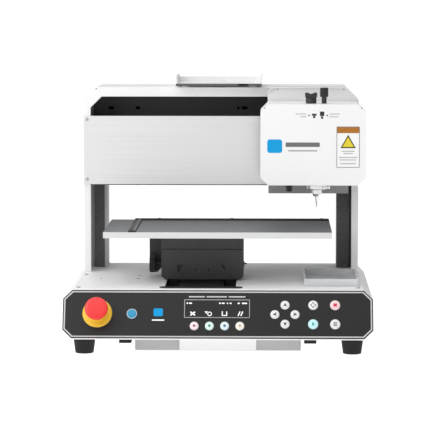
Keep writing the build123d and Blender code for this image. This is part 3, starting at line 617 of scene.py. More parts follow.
class EngraverColours(bpy.types.PropertyGroup):
    """The machine's colours."""

    casework: colour_property("Casework", "White powder coat of base, portal and head", (0.86, 0.86, 0.86))
    # painted light: a lighter copy of the casework white, for the base
    base: colour_property("Base", "White powder coat of the base", (0.93, 0.93, 0.93))
    ironwork: colour_property("Black parts", "Black parts and mouldings", (0.028, 0.028, 0.03))
    panel: colour_property("Control panel", "The control panel's plate", (0.012, 0.012, 0.012))
    lift: colour_property("Lift", "The lift unit's anodising", (0.054, 0.054, 0.055))
    pan: colour_property("Belly pan", "The pan under the base", (0.44, 0.44, 0.44))
    beam: colour_property("Beam cover", "Brushed cover of the beam", (0.80, 0.80, 0.80))
    steel: colour_property("Steel", "Ground steel rods and screws", (0.55, 0.55, 0.55))
    # painted highlight: this light colour lights up the rods and the wedges through half-diffuse finishes
    rods: colour_property("Guide rods", "Hard chromed guide rods", (0.80, 0.80, 0.80))
    carriage: colour_property("Carriage", "Machined carriage plate", (0.26, 0.26, 0.265))
    # painted shade: a darker white than the casework, for the shade the head throws on this sheet
    carriage_cover: colour_property("Carriage cover", "Light sheet behind the head", (0.76, 0.76, 0.76))
    nose: colour_property("Spindle nose", "Turned nose and cutter", (0.88, 0.89, 0.88))
    table_top: colour_property("Table top", "Milled top of the table", (0.20, 0.205, 0.218))
    table_edge: colour_property("Table edge", "Cut edge of the table", (0.72, 0.73, 0.72))
    column: colour_property("Uprights", "Wrinkle paint of the uprights", (0.115, 0.115, 0.115))
    # painted light: this grey lightens only the left upright's inner side and outer strip
    column_painted_light: colour_property("Upright's side", "Inner side of the uprights", (0.62, 0.62, 0.62))
    stop_red: colour_property("Stop red", "The emergency stop's head", (0.86, 0.03, 0.03))
    stop_yellow: colour_property("Stop yellow", "The emergency stop's ring", (0.86, 0.55, 0.03))
    emblem: colour_property("Emblem", "The plain blue emblem", (0.0, 0.33, 0.70))


class EngraverStage(bpy.types.PropertyGroup):
    """Light and camera."""

    key_light: bpy.props.FloatProperty(
        name="Key light", description="Power of the large soft light on the left",
        default=5.5, min=0.0, unit="POWER")
    top_light: bpy.props.FloatProperty(
        name="Top light", description="Power of the soft light overhead",
        default=25.0, min=0.0, unit="POWER")
    sky: bpy.props.FloatProperty(
        name="Surroundings", description="Brightness of the white surroundings",
        default=0.46, min=0.0)
    lean: bpy.props.FloatProperty(
        name="Left to right", description="How much brighter the surroundings are on the left",
        default=0.22, min=0.0, max=0.5)


# ---- base, panel and controls ---------------------------------------------------------------------
class ENGRAVER_OT_base(bpy.types.Operator):
    """Build the sheet metal base, its pan, feet, deck screws and slot plates"""

    bl_idname = "engraver.base"
    bl_label = "Base"

    def execute(self, context):
        sizes = context.scene.engraver_sizes
        softened("base_housing", "base_coat_painted_light", sizes.case_round)
        softened("belly_pan", "pan_coat", 0.5 * MM)
        softened("slot_cover", "black_anodised", 0.4 * MM, 2)
        softened("rear_panels", "white_coat", 0.4 * MM, 2)
        self.feet()
        self.screws()
        self.slot_plate_screws()
        return {"FINISHED"}

    def feet(self):
        """Four ribbed rubber cones and two flat bumpers."""
        _, high = low_high("rubber_feet")
        top, tall = 18 * MM, high.z
        bm = bmesh.new()
        profile = [(0, 0), (13.2 * MM, 0), (14.0 * MM, 0.4 * MM), (14.4 * MM, 1.2 * MM),
                   (top - 0.2 * MM, tall - 1.0 * MM), (top, tall), (0, tall)]
        span_x, feet_y = high.x - top, (high.y - top, frame_y(14))
        for x in (-span_x, span_x):
            for y in feet_y:
                cone = bmesh.new()
                revolve(cone, profile, 48)
                add_moved(bm, cone, Matrix.Translation((x, y, 0)))
        for x in (-143 * MM, 143 * MM):
            pad = bmesh.new()
            block(pad, (x - 9.5 * MM, frame_y(-24), tall - 7 * MM), (x + 9.5 * MM, frame_y(-4), tall))
            bevel(pad, 0.6 * MM, 2)
            add_moved(bm, pad, Matrix())
        for_node("rubber_feet_soft", bm, "rubber", "rubber_feet")

    def screws(self):
        """The cap screws of the beam cover and the deck."""
        bm = bmesh.new()
        cover_front = low_high("beam_front_cover")[0].y
        for x in (-220 * MM, 220 * MM):
            for height in (250, 348):
                facing = facing_operator(x, cover_front, frame_z(height))
                socket_screw(bm, 3 * MM, 1.4 * MM, facing)
        for x in (-218 * MM, 218 * MM):
            for depth in (19, 189):
                socket_screw(bm, 3 * MM, 1.6 * MM, Matrix.Translation((x, frame_y(depth), DECK)))
        for_node("cap_screws", bm, "steel_ground", "case_screws")

    def slot_plate_screws(self):
        """Screws at the round ends of the slot plates, and the small plugged holes of the deck."""
        bm = bmesh.new()
        for depth in (23.5, 310.5):
            for x in (-86, 32):
                socket_screw(bm, 2.4 * MM, 0.4 * MM,
                             Matrix.Translation((x * MM, frame_y(depth), DECK + 1.2 * MM)))
        finish_piece("slot_plate_screws", bm, "steel_ground", ROOT, "steel")
        for name, material, spots in (("deck_plugs", "grey_ink_and_hole_shade", ((-131.3, 140), (-130.7, 181))),
                                      ("deck_plug_light", "pale_ink", ((-191, 143),))):
            bm = bmesh.new()
            for x, depth in spots:
                plug = bmesh.new()
                revolve(plug, [(0, 0.15 * MM), (2.6 * MM, 0.15 * MM), (3 * MM, 0), (0, 0)], 24)
                add_moved(bm, plug, Matrix.Translation((x * MM, frame_y(depth), DECK)))
            finish_piece(name, bm, material, ROOT, "steel")


def add_moved(bm, other, placing):
    """Adds another bmesh, moved, and frees it."""
    bmesh.ops.transform(other, matrix=placing, verts=other.verts)
    mesh = bpy.data.meshes.new("added")
    other.to_mesh(mesh)
    other.free()
    bm.from_mesh(mesh)
    bpy.data.meshes.remove(mesh)


PANEL_EDGE_Y = low_high("portal_shell")[0].y - 234 * MM  # the top edge of the control panel
DECK = low_high("base_housing")[1].z
DATUM = DECK - 97.2 * MM  # the plane that heights are measured from


def frame_y(depth):
    """The Y of a point this many millimetres behind the panel's top edge."""
    return PANEL_EDGE_Y + depth * MM


def frame_z(height):
    """The Z of a point this many millimetres over the datum plane."""
    return DATUM + height * MM


class ENGRAVER_OT_panel(bpy.types.Operator):
    """Build the control panel's plate, its silver trim, display and emblem"""

    bl_idname = "engraver.panel"
    bl_label = "Control panel"

    def execute(self, context):
        sizes = context.scene.engraver_sizes
        softened("control_panel", "panel_coat", 0.35 * MM, 2)
        softened("display_screen", "screen_window", 0.2 * MM, 2)
        self.trim(sizes)
        self.display()
        self.emblem()
        return {"FINISHED"}

    def trim(self, sizes):
        """The silver line that follows the plate's edge."""
        inset, half, tall, corner = 1.8 * MM, 240 * MM, 38.9 * MM, 14 * MM
        x, y = half - inset, tall - inset
        cut = corner - inset * (2 - math.sqrt(2))
        points = [(-x, -y + cut), (-x + cut, -y), (x - cut, -y), (x, -y + cut),
                  (x, y - cut), (x - cut, y), (-x + cut, y), (-x, y - cut)]
        bm = bmesh.new()
        raise_ring(bm, points, sizes.trim_width, 0.15 * MM)
        finish_piece("panel_trim", bm, "silver_ink", ROOT, "black_panel", on_panel(0, 0))

    def display(self):
        """The display's border, its status line and four plain signs."""
        middle = middle_of("display_screen")
        centre = on_panel(0, 0).inverted() @ middle
        placing = on_panel(centre.x, centre.y, 0.4 * MM)
        bm = bmesh.new()
        raise_ring(bm, soft_oblong(0, 0, 101.6 * MM, 29.8 * MM, 1.4 * MM), 1.1 * MM, 0.1 * MM)
        finish_piece("display_border", bm, "pale_ink", ROOT, "display", placing)
        marks = []
        status = ((-46, 2.4), (-41, 4.6), (4.5, 3), (9.5, 4.4), (16, 2), (21, 3), (33.5, 3.4), (42.5, 8))
        for x, wide in status:
            marks.append(soft_oblong(x * MM, 8.8 * MM, wide * MM, 2.2 * MM, 0.5 * MM, 2))
        for turn in (1, -1):
            marks.append(scaled(oblong(0, 0, 9, 2.2), x=-37.5 * MM, y=-8 * MM, turn=turn * math.radians(38)))
        marks.append(scaled([(-2.4, 3.6), (2.4, 3.6), (0, -0.4)], x=-16.6 * MM, y=-8 * MM))
        marks.append(oblong(8.2 * MM, -8 * MM, 1.6 * MM, 7.4 * MM))
        marks.append(oblong(15 * MM, -8 * MM, 1.6 * MM, 7.4 * MM))
        marks.append(oblong(11.6 * MM, -11 * MM, 5.4 * MM, 1.4 * MM))
        for x in (34.2, 38.4):
            marks.append(scaled(oblong(0, 0, 1.8, 7.8), x=x * MM, y=-8 * MM, turn=math.radians(-22)))
        print_piece("display_signs", marks, "white_ink", ROOT, "display", placing, 0.1 * MM)
        bm = bmesh.new()
        raise_ring(bm, round_outline(-11.4 * MM, -8.4 * MM, 3.6 * MM), 1.3 * MM, 0.1 * MM)
        finish_piece("display_dial", bm, "white_ink", ROOT, "display", placing)
        bars = [soft_oblong(x * MM, 0, wide * MM, 2.0 * MM, 0.8 * MM, 3)
                for x, wide in ((-31.4, 25), (-0.5, 31.5), (30.9, 26))]
        print_piece("display_title_bars", bars, "silver_ink", ROOT, "black_panel",
                    on_panel(centre.x, centre.y + 19.4 * MM))

    def emblem(self):
        """A plain blue tile over a white bar."""
        placing = on_panel(-92.1 * MM, 3.5 * MM)
        tile = [soft_oblong(0, -0.4 * MM, 14.5 * MM, 12.6 * MM, 2.4 * MM)]
        print_piece("panel_emblem", tile, "blue_ink", ROOT, "black_panel", placing)
        # painted light: the printed bar glows with the white ink
        bar = [soft_oblong(0, -13 * MM, 19.3 * MM, 2.0 * MM, 0.9 * MM, 4)]
        print_piece("panel_emblem_bar", bar, "white_ink", ROOT, "black_panel", placing)


ARROW = [(0, 3.4), (2.9, -2.8), (0, -1.3), (-2.9, -2.8)]
KEYS = {  # node: (tint of the cap, ink of the sign, outlines of the sign in millimetres)
    "arrow_up_button": ("plain", "dark_ink", [scaled(ARROW, 1.0)]),
    "arrow_down_button": ("plain", "dark_ink", [scaled(ARROW, 1.0, turn=math.pi)]),
    "arrow_left_button": ("plain", "dark_ink", [scaled(ARROW, 1.0, turn=math.pi / 2)]),
    "arrow_right_button": ("plain", "dark_ink", [scaled(ARROW, 1.0, turn=-math.pi / 2)]),
    "centre_button": ("plain", "dark_ink",
                      [scaled([(0, 2.2), (1.8, 0), (-1.8, 0)], 1.0, x, y, turn * math.pi / 2)
                       for turn, (x, y) in enumerate(((0, 2.4), (-2.4, 0), (0, -2.4), (2.4, 0)))]),
    "start_button": ("cyan", "teal_ink", [[(-1.6, -3.2), (2.6, 0), (-1.6, 3.2)]]),
    "stop_button": ("pink", "red_ink", [oblong(0, 0, 5.4, 5.0)]),
    "menu_button": ("plain", "dark_ink", [oblong(0, y, 5.6, 1.1) for y in (-2.1, 0, 2.1)]),
    "soft_key_1": ("rose", "rose_ink", [round_outline(0, 0, 2.0, 24)]),
    "soft_key_2": ("mint", "green_ink", [round_outline(0, 0, 2.0, 24)]),
    "soft_key_3": ("sky", "navy_ink", [round_outline(0, 0, 2.0, 24)]),
    "soft_key_4": ("cream", "sand_ink", [round_outline(0, 0, 2.0, 24)]),
    "power_button": ("power", "blue_ink", [round_outline(0, 0, 1.5, 24)]),
}


class ENGRAVER_OT_keys(bpy.types.Operator):
    """Build the push buttons with their signs"""

    bl_idname = "engraver.keys"
    bl_label = "Push buttons"

    def execute(self, context):
        dome = context.scene.engraver_sizes.key_dome
        for node in KEY_NODES:
            tint, sign_ink, sign = KEYS[node]
            low, high = low_high(node)
            radius = (high.x - low.x) / 2 - 1.2 * MM
            placing = on_control(node)
            bm = bmesh.new()
            revolve(bm, [(0, 0), (0.35 * radius, 0), (0.62 * radius, -0.06 * dome),
                         (0.80 * radius, -0.3 * dome), (0.93 * radius, -0.72 * dome),
                         (0.985 * radius, -1.2 * dome), (radius, -1.9 * dome),
                         (radius, -5.6 * MM), (radius + 1.2 * MM, -5.6 * MM),
                         (radius + 1.2 * MM, -7.1 * MM), (0, -7.1 * MM)], 64)
            for_node(f"{node}_cap", bm, f"key_{tint}", node, placing, smooth=50)
            outlines = [scaled(points) for points in sign]
            bm = bmesh.new()
            raise_outlines(bm, outlines, 0.3 * MM, -0.2 * MM)
            finish_piece(f"{node}_sign", bm, sign_ink, NODE_BODY[node], "button_plastic", placing)
            if node == "power_button":
                for name, ring, wide, base, material in (("ring", 0.66, 1.0, -0.4, "teal_ink"),
                                                         ("rim", 0.99, 1.0, -1.2, "key_plain")):
                    bm = bmesh.new()
                    raise_ring(bm, round_outline(0, 0, ring * radius, 48), wide * MM, 0.6 * MM, base * MM)
                    finish_piece(f"power_{name}", bm, material, NODE_BODY[node], "button_plastic", placing)
            # painted shade: a grey ring round the cap's edge, where the dome turns from the light
            if node != "power_button":
                bm = bmesh.new()
                raise_ring(bm, round_outline(0, 0, 0.99 * radius, 64), 1.0 * MM, 0.4 * MM, -1.5 * dome)
                finish_piece(f"{node}_rim", bm, "key_edge_shade", NODE_BODY[node], "button_plastic", placing)
            # the dark bezel round the key, let into the plate
            bm = bmesh.new()
            raise_ring(bm, round_outline(0, 0, radius + 1.2 * MM, 64), 1.0 * MM, 0.4 * MM)
            local = on_panel(0, 0).inverted() @ face_centre(node)
            finish_piece(f"{node}_bezel", bm, "black_moulding", ROOT, "black_panel",
                         on_panel(local.x, local.y, -0.05 * MM))
        return {"FINISHED"}


class ENGRAVER_OT_stop(bpy.types.Operator):
    """Build the emergency stop"""

    bl_idname = "engraver.stop"
    bl_label = "Emergency stop"

    def execute(self, context):
        local = on_panel(0, 0).inverted() @ face_centre("estop_mushroom")
        placing = on_panel(local.x, local.y)
        bm = bmesh.new()
        ring = [(6.1, -24), (6.1, 6), (13.4, 6), (14, 5.4), (14.2, 3.2), (20.4, 2.5), (21.8, 2.2),
                (22.7, 1.3), (23, 0.5), (23, 0), (10.8, 0), (10.8, -24), (6.1, -24)]
        revolve(bm, [(r * MM, h * MM) for r, h in ring], 96)
        for_node("estop_ring", bm, "yellow_moulding", "estop_base", placing, smooth=40)
        bm = bmesh.new()
        cap = [(0, 28), (12, 27.95), (16.2, 27.7), (17.2, 27.2), (17.8, 26.4), (18, 25.2), (17.9, 24),
               (17.2, 20.6), (16, 16), (14.9, 12), (14.5, 11.3), (14, 11), (6.1, 11), (6.1, 20.3), (0, 20.3)]
        revolve(bm, [(r * MM, h * MM) for r, h in cap], 96)
        for_node("estop_cap", bm, "red_moulding", "estop_mushroom", placing, smooth=50)
        dress("estop_stem", "steel_ground")
        # the dark sealing washer under the ring
        bm = bmesh.new()
        raise_ring(bm, round_outline(0, 0, 24.2 * MM, 96), 2 * MM, 0.5 * MM)
        finish_piece("estop_washer", bm, "black_moulding", ROOT, "rubber", placing)
        return {"FINISHED"}


# ---- portal ---------------------------------------------------------------------------------------
class ENGRAVER_OT_portal(bpy.types.Operator):
    """Build the portal's shell, its beam cover, uprights and the shelf on top"""

    bl_idname = "engraver.portal"
    bl_label = "Portal"

    def execute(self, context):
        sizes = context.scene.engraver_sizes
        softened("portal_shell", "white_coat", sizes.case_round)
        softened("beam_front_cover", "beam_brushed", 0.5 * MM, 2)
        softened("uprights", "column_coat", 0.6 * MM, 2)
        softened("accessory_shelf", "white_coat", 0.5 * MM, 2)
        softened("crossbeam", "black_anodised", 0.6 * MM, 2)
        # painted highlight on the rods
        softened("guide_rails", "rod_chrome_painted_highlight", 0.4 * MM, 2)
        softened("screw_bearings", "black_anodised", 0.4 * MM, 2)
        softened("drive_motors", "black_anodised", 0.5 * MM, 2)
        self.reliefs()
        self.lining()
        self.shelf_strip()
        return {"FINISHED"}

    def shelf_strip(self):
        """A dark grey strip on the shelf's front lip, partly the lip's own grey and partly painted shade; its
        slot is a dark mark of painted shade.
        """
        low, high = low_high("accessory_shelf")
        foot = frame_z(403.6)
        bm = bmesh.new()
        block(bm, (low.x + 1.2 * MM, low.y - 0.4 * MM, foot), (high.x - 1.2 * MM, low.y, foot + 4.0 * MM))
        bevel(bm, 0.15 * MM, 1)
        finish_piece("shelf_strip", bm, "strip_coat_and_shade", ROOT, "white_paint", weighted=True)
        # painted shade: the slot is drawn as a dark mark
        slot = [soft_oblong(36.2 * MM, foot + 2.2 * MM, 16.4 * MM, 2.6 * MM, 1.0 * MM, 3)]
        print_piece("shelf_strip_slot", slot, "hole_shade", ROOT, "white_paint",
                    facing_operator(0, low.y - 0.4 * MM, 0), 0.05 * MM)

    def reliefs(self):
        """Small round relief holes where the folded corners meet, drawn as grey dots of painted shade."""
        bm = bmesh.new()
        front = low_high("portal_shell")[0].y
        for x in (-204.3, 204.3):
            spot = bmesh.new()
            revolve(spot, [(0, 0.05 * MM), (1.1 * MM, 0.05 * MM), (1.2 * MM, 0), (0, 0)], 16)
            add_moved(bm, spot, facing_operator(x * MM, front, frame_z(398.4)))
        finish_piece("portal_reliefs", bm, "grey_ink_and_hole_shade", ROOT, "white_paint")

    def lining(self):
        """The dark back wall behind the slot over the beam cover, and the black lip under the cover."""
        low, high = low_high("beam_front_cover")
        bm = bmesh.new()
        block(bm, (-213 * MM, frame_y(234.2), low.z - 1.6 * MM), (213 * MM, frame_y(236), low.z))
        finish_piece("beam_lip", bm, "black_moulding", ROOT, "black_plastic")
        bm = bmesh.new()
        block(bm, (low.x + 12 * MM, frame_y(298.5), frame_z(345)),
              (high.x - 12 * MM, frame_y(300), frame_z(392)))
        bevel(bm, 0.3 * MM, 1)
        finish_piece("beam_lining", bm, "lining_coat", ROOT, "black_anodised")
        # painted shade: dark marks for the back wall's holes
        bm = bmesh.new()
        for x, wide in ((-184, 9), (-139.5, 7), (27.6, 4), (38, 10)):
            hole = bmesh.new()
            raise_outlines(hole, [soft_oblong(0, 0, wide * MM, 5 * MM, 2 * MM)], 0.3 * MM)
            add_moved(bm, hole, facing_operator(x * MM, frame_y(298.5), frame_z(364)))
        finish_piece("beam_lining_holes", bm, "hole_shade", ROOT, "black_anodised")


# ---- head -----------------------------------------------------------------------------------------
class ENGRAVER_OT_head(bpy.types.Operator):
    """Build the carriage, the head's cover, its emblem and its label"""

    bl_idname = "engraver.head"
    bl_label = "Carriage and head cover"

    def execute(self, context):
        sizes = context.scene.engraver_sizes
        softened("head_cover", "head_coat", sizes.head_round)
        softened("carriage_plate", "carriage_brushed", sizes.metal_round)
        softened("x_bearing_blocks", "steel_ground", 0.4 * MM, 2)
        softened("head_bracket", "carriage_brushed", sizes.metal_round, 2)
        softened("z_drive_motor", "black_anodised", 0.6 * MM, 2)
        self.back_cover()
        self.reliefs()
        self.emblem()
        self.knob_signs()
        self.label()
        return {"FINISHED"}

    def back_cover(self):
        """The white sheet over the carriage's upper part, with a flange folded along its edge; the sheet is a
        darker white than its flange, painted shade from the head.
        """
        low, high = low_high("carriage_plate")
        front = frame_y(200)
        left, right, top, foot = low.x, high.x, high.z, frame_z(345.2)
        small, large = 7 * MM, 20.5 * MM
        outline = [(left, foot), (right, foot), (right, top - large), (right - large, top),
                   (left + small, top), (left, top - small)]
        bm = bmesh.new()
        raise_outlines(bm, [outline], 1.0 * MM)
        bevel(bm, 0.3 * MM, 2)
        facing = facing_operator(0, front, 0)
        finish_piece("carriage_cover", bm, "carriage_shaded_coat", "carriage", "white_paint", facing, weighted=True)
        # a lip folded forwards along the upper edges
        bm = bmesh.new()
        inner = inset_outline(outline, 1.2 * MM)
        for a, b in ((2, 3), (3, 4), (4, 5)):
            strip = [outline[a], outline[b], inner[b], inner[a]]
            raise_outlines(bm, [strip], 6 * MM)
        finish_piece("carriage_flange", bm, "head_coat", "carriage", "white_paint", facing)

    def reliefs(self):
        """Relief holes at the folds of the cover and the carriage, drawn as grey dots of painted shade."""
        front, (low, high) = frame_y(95), low_high("head_cover")
        for name, body, y, spots in (
                ("head_reliefs", "head", front,
                 [(low.x + 7 * MM, high.z - 6 * MM), (high.x - 7 * MM, high.z - 6 * MM)]),
                ("carriage_reliefs", "carriage", frame_y(199),
                 [(0.0925, frame_z(399)), (0.1995, frame_z(399))])):
            bm = bmesh.new()
            for x, z in spots:
                spot = bmesh.new()
                revolve(spot, [(0, 0.06 * MM), (0.9 * MM, 0.06 * MM), (1.0 * MM, 0), (0, 0)], 16)
                add_moved(bm, spot, facing_operator(x, y, z))
            finish_piece(name, bm, "grey_ink_and_hole_shade", body, "white_paint")

    def emblem(self):
        """The same plain tile as on the panel, with two grey bars beside it."""
        placing = front_of("head_cover", 0.0868, frame_z(314.2))
        tile = [soft_oblong(0.8 * MM, -0.4 * MM, 23.6 * MM, 21.4 * MM, 4.0 * MM)]
        print_piece("head_emblem", tile, "blue_ink", "head", "white_paint", placing)
        print_piece("head_emblem_bar", [soft_oblong(45 * MM, 2.0 * MM, 54 * MM, 7.0 * MM, 1.2 * MM)],
                    "grey_ink_and_hole_shade", "head", "white_paint", placing)
        print_piece("head_emblem_rule", [soft_oblong(45 * MM, -7.6 * MM, 46 * MM, 2.4 * MM, 1.0 * MM)],
                    "pale_ink", "head", "white_paint", placing)

    def knob_signs(self):
        """Small pictures of the two knobs, each with a dot and two short lines."""
        placing = front_of("head_cover", 0.1560, frame_z(362.5))
        blocks = ((-6.2, 1.2, 7.4, 3.0), (-6.2, -2.4, 3.6, 3.6), (6.2, 2.6, 6.8, 7.0), (6.2, -3.4, 3.4, 4.0))
        signs = [scaled(oblong(*sizes)) for sizes in blocks]
        signs += [round_outline(x * MM, 0, 1.2 * MM, 16) for x in (-14.4, 14.4)]
        print_piece("knob_signs", signs, "dark_ink", "head", "white_paint", placing)
        lines = [soft_oblong(x * MM, y * MM, wide * MM, 1.3 * MM, 0.5 * MM, 2)
                 for x, y, wide in ((-27, 2.2, 17), (-23, -2.2, 10), (26, 2.2, 17), (25, -2.2, 15))]
        print_piece("knob_sign_lines", lines, "pale_ink", "head", "white_paint", placing)

    def label(self):
        """A plain notice: orange band, bare yellow triangle and grey lines, with no words or picture."""
        placing = front_of("head_cover", 0.2035, frame_z(312.4))
        wide, tall = 36.5, 65.0
        print_piece("notice_sheet", [soft_oblong(0, 0, wide * MM, tall * MM, 1.5 * MM)], "label_ink", "head",
                    "white_paint", placing, 0.10 * MM)
        bm = bmesh.new()
        raise_ring(bm, soft_oblong(0, 0, wide * MM, tall * MM, 1.5 * MM), 0.9 * MM, 0.16 * MM)
        finish_piece("notice_border", bm, "grey_ink_and_hole_shade", "head", "white_paint", placing)
        band = [scaled(oblong(0, tall / 2 - 5.4, wide - 1, 9.8))]
        print_piece("notice_band", band, "orange_ink", "head", "white_paint", placing, 0.14 * MM)
        peak = [(-12.2, -1.6), (12.2, -1.6), (0, 19.8)]
        print_piece("notice_triangle", [scaled(peak)], "olive_ink", "head", "white_paint", placing, 0.14 * MM)
        core = [(-8.9, 0.4), (8.9, 0.4), (0, 15.8)]
        print_piece("notice_triangle_core", [scaled(core)], "yellow_ink", "head", "white_paint", placing,
                    0.18 * MM)
        lines = [soft_oblong(0, y * MM, w * MM, 1.5 * MM, 0.5 * MM, 2)
                 for y, w in ((-6.4, 21), (-10.0, 15), (-16.4, 29), (-20.2, 26), (-26.2, 25))]
        print_piece("notice_lines", lines, "pale_ink", "head", "white_paint", placing, 0.14 * MM)


class ENGRAVER_OT_spindle(bpy.types.Operator):
    """Build the spindle's cartridge, motor, nose, cutter and the pointer beside it"""

    bl_idname = "engraver.spindle"
    bl_label = "Spindle"

    def execute(self, context):
        axis = middle_of("cutter")
        placing = Matrix.Translation((axis.x, axis.y, 0))
        bm = bmesh.new()
        nose = [(3.1, 258), (16, 258), (16, 250.6), (15.4, 250.2), (15.4, 249.2), (16, 248.8), (16, 244),
                (15.2, 243.2), (8, 243), (7.4, 242.4), (7.4, 241.6), (8, 241), (8, 235.6), (7.6, 235),
                (5.2, 231.2), (3.1, 231), (3.1, 258)]
        revolve(bm, [(r * MM, frame_z(h)) for r, h in nose], 72)
        ear = bmesh.new()
        block(ear, (9 * MM, -5.6 * MM, frame_z(243.2)), (20.8 * MM, 5.6 * MM, frame_z(250.8)))
        bevel(ear, 1.2 * MM, 3)
        add_moved(bm, ear, Matrix())
        for_node("nose_turning", bm, "nose_turned", "spindle_nose", placing, smooth=30)
        bm = bmesh.new()
        for turn in (35, 155, 275):
            side = Matrix.Rotation(math.radians(turn), 4, "Z")
            facing = facing_operator(0, -15.9 * MM, frame_z(246.4))
            socket_screw(bm, 1.5 * MM, 0.7 * MM, side @ facing)
        facing = facing_operator(17.6 * MM, -5.6 * MM, frame_z(247))
        socket_screw(bm, 1.8 * MM, 0.9 * MM, facing)
        finish_piece("nose_screws", bm, "steel_ground", "head", "steel", placing)
        bm = bmesh.new()
        shank = [(0, 325), (3, 325), (3, 276), (5, 275.7), (5, 264.3), (3, 264), (3, 231), (2.75, 229.4),
                 (2.35, 224), (2.15, 222.6), (1.9, 222), (1.2, 214.6), (0.9, 213.6), (0, 213.6)]
        revolve(bm, [(r * MM, frame_z(h)) for r, h in shank], 40)
        for_node("cutter_shank", bm, "nose_turned", "cutter", placing, smooth=40)
        softened("spindle_housing", "steel_ground", 0.6 * MM, 2)
        softened("spindle_motor", "black_anodised", 0.4 * MM, 2)
        softened("pointer_block", "pointer_moulding", 0.8 * MM, 3)
        low, _ = low_high("pointer_block")
        bm = bmesh.new()
        revolve(bm, [(0, 0), (3.2 * MM, 0), (3.2 * MM, 0.8 * MM), (2.4 * MM, 0.8 * MM), (2.0 * MM, 0.3 * MM),
                     (0, 0.3 * MM)], 32)
        lens = facing_operator(0.1108, low.y, frame_z(243.4))
        finish_piece("pointer_lens", bm, "screen_window", "head", "black_plastic", lens)
        return {"FINISHED"}


class ENGRAVER_OT_knobs(bpy.types.Operator):
    """Build the two knobs on top of the head"""

    bl_idname = "engraver.knobs"
    bl_label = "Knobs"

    def execute(self, context):
        lock, adjuster = middle_of("pressure_lock_knob"), middle_of("pressure_adjuster_knob")
        bm = bmesh.new()
        base = [(0, 368), (3, 368), (3, 380.3), (8.3, 380.3), (8.6, 380.9), (8.6, 387.2), (8.2, 388),
                (7.2, 388.3), (0, 388.3)]
        revolve(bm, [(r * MM, frame_z(h)) for r, h in base], 48)
        wings = bmesh.new()
        outline = [(-7.4, 387.2), (7.4, 387.2), (8.6, 389), (9.6, 390.6), (9.6, 396.2), (8.6, 397.3),
                   (5.4, 397.2), (0, 395), (-5.4, 397.2), (-8.6, 397.3), (-9.6, 396.2), (-9.6, 390.6),
                   (-8.6, 389)]
        raise_outlines(wings, [[(x * MM, frame_z(z)) for x, z in outline]], 7 * MM, -3.5 * MM)
        bevel(wings, 0.7 * MM, 3, 50)
        add_moved(bm, wings, placed(Vector(), RIGHT, UP))
        for_node("lock_knob", bm, "black_moulding", "pressure_lock_knob",
                 Matrix.Translation((lock.x, lock.y, 0)), smooth=40)
        bm = bmesh.new()
        stem = [(0, 368), (4, 368), (4, 391), (0, 391)]
        revolve(bm, [(r * MM, frame_z(h)) for r, h in stem], 40)
        knurled(bm, 6.0 * MM, 6.6 * MM, frame_z(390.4), frame_z(405), 28)
        for_node("adjuster_knob", bm, "black_moulding", "pressure_adjuster_knob",
                 Matrix.Translation((adjuster.x, adjuster.y, 0)), smooth=25)
        return {"FINISHED"}


def knurled(bm, inner, outer, low, high, ribs):
    """An upright knurled drum with chamfered rims."""
    rim, edge = inner - 0.3 * MM, 0.7 * MM
    loops = []
    for z, narrow in ((low, True), (low + edge, False), (high - edge, False), (high, True)):
        loop = []
        for i in range(ribs):
            for share, radius in ((0.0, inner), (0.25, outer), (0.55, outer), (0.8, inner)):
                turn = 2 * math.pi * (i + share) / ribs
                reach = rim if narrow else radius
                loop.append(bm.verts.new((reach * math.cos(turn), reach * math.sin(turn), z)))
        loops.append(loop)
    join_loops(bm, loops)
    bm.faces.new(loops[0])
    bm.faces.new(loops[-1])


# ---- table, lift and drives -----------------------------------------------------------------------
class ENGRAVER_OT_table(bpy.types.Operator):
    """Build the work table and its rulers"""

    bl_idname = "engraver.table"
    bl_label = "Work table"

    def execute(self, context):
        softened("work_table", "table_metal", 0.5 * MM)
        softened("table_rulers", "black_anodised", 0.25 * MM, 2)
        pitch = context.scene.engraver_sizes.tick_pitch
        low, high = low_high("table_rulers")
        rear_bar = high.y - 12 * MM
        bar_right = low.x + 11.5 * MM
        top = Matrix.Translation((0, 0, high.z))
        ticks = []
        count = int((rear_bar - low.y - 4 * MM) / pitch)
        for i in range(count):
            long = 6.5 * MM if i % 5 == 0 else 3.6 * MM
            y = low.y + 3 * MM + i * pitch
            ticks.append(oblong(bar_right - 0.6 * MM - long / 2, y, long, 0.35 * MM))
        count = int((high.x - bar_right - 6 * MM) / pitch)
        for i in range(count):
            long = 6.5 * MM if i % 5 == 0 else 3.6 * MM
            x = bar_right + 3 * MM + i * pitch
            ticks.append(oblong(x, rear_bar + 0.6 * MM + long / 2, 0.35 * MM, long))
        print_piece("ruler_marks", ticks, "pale_ink", "lift_top", "black_anodised", top, 0.06 * MM)
        # screws that hold the rulers
        bm = bmesh.new()
        for x, y in ((low.x + 4.5 * MM, low.y + 12 * MM), (low.x + 4.5 * MM, rear_bar - 12 * MM),
                     (low.x + 40 * MM, high.y - 4 * MM), (high.x - 12 * MM, high.y - 4 * MM),
                     ((low.x + high.x) / 2, high.y - 4 * MM)):
            socket_screw(bm, 2.2 * MM, 0.8 * MM, Matrix.Translation((x, y, high.z)))
        finish_piece("ruler_screws", bm, "black_anodised", "lift_top", "black_anodised")
        return {"FINISHED"}


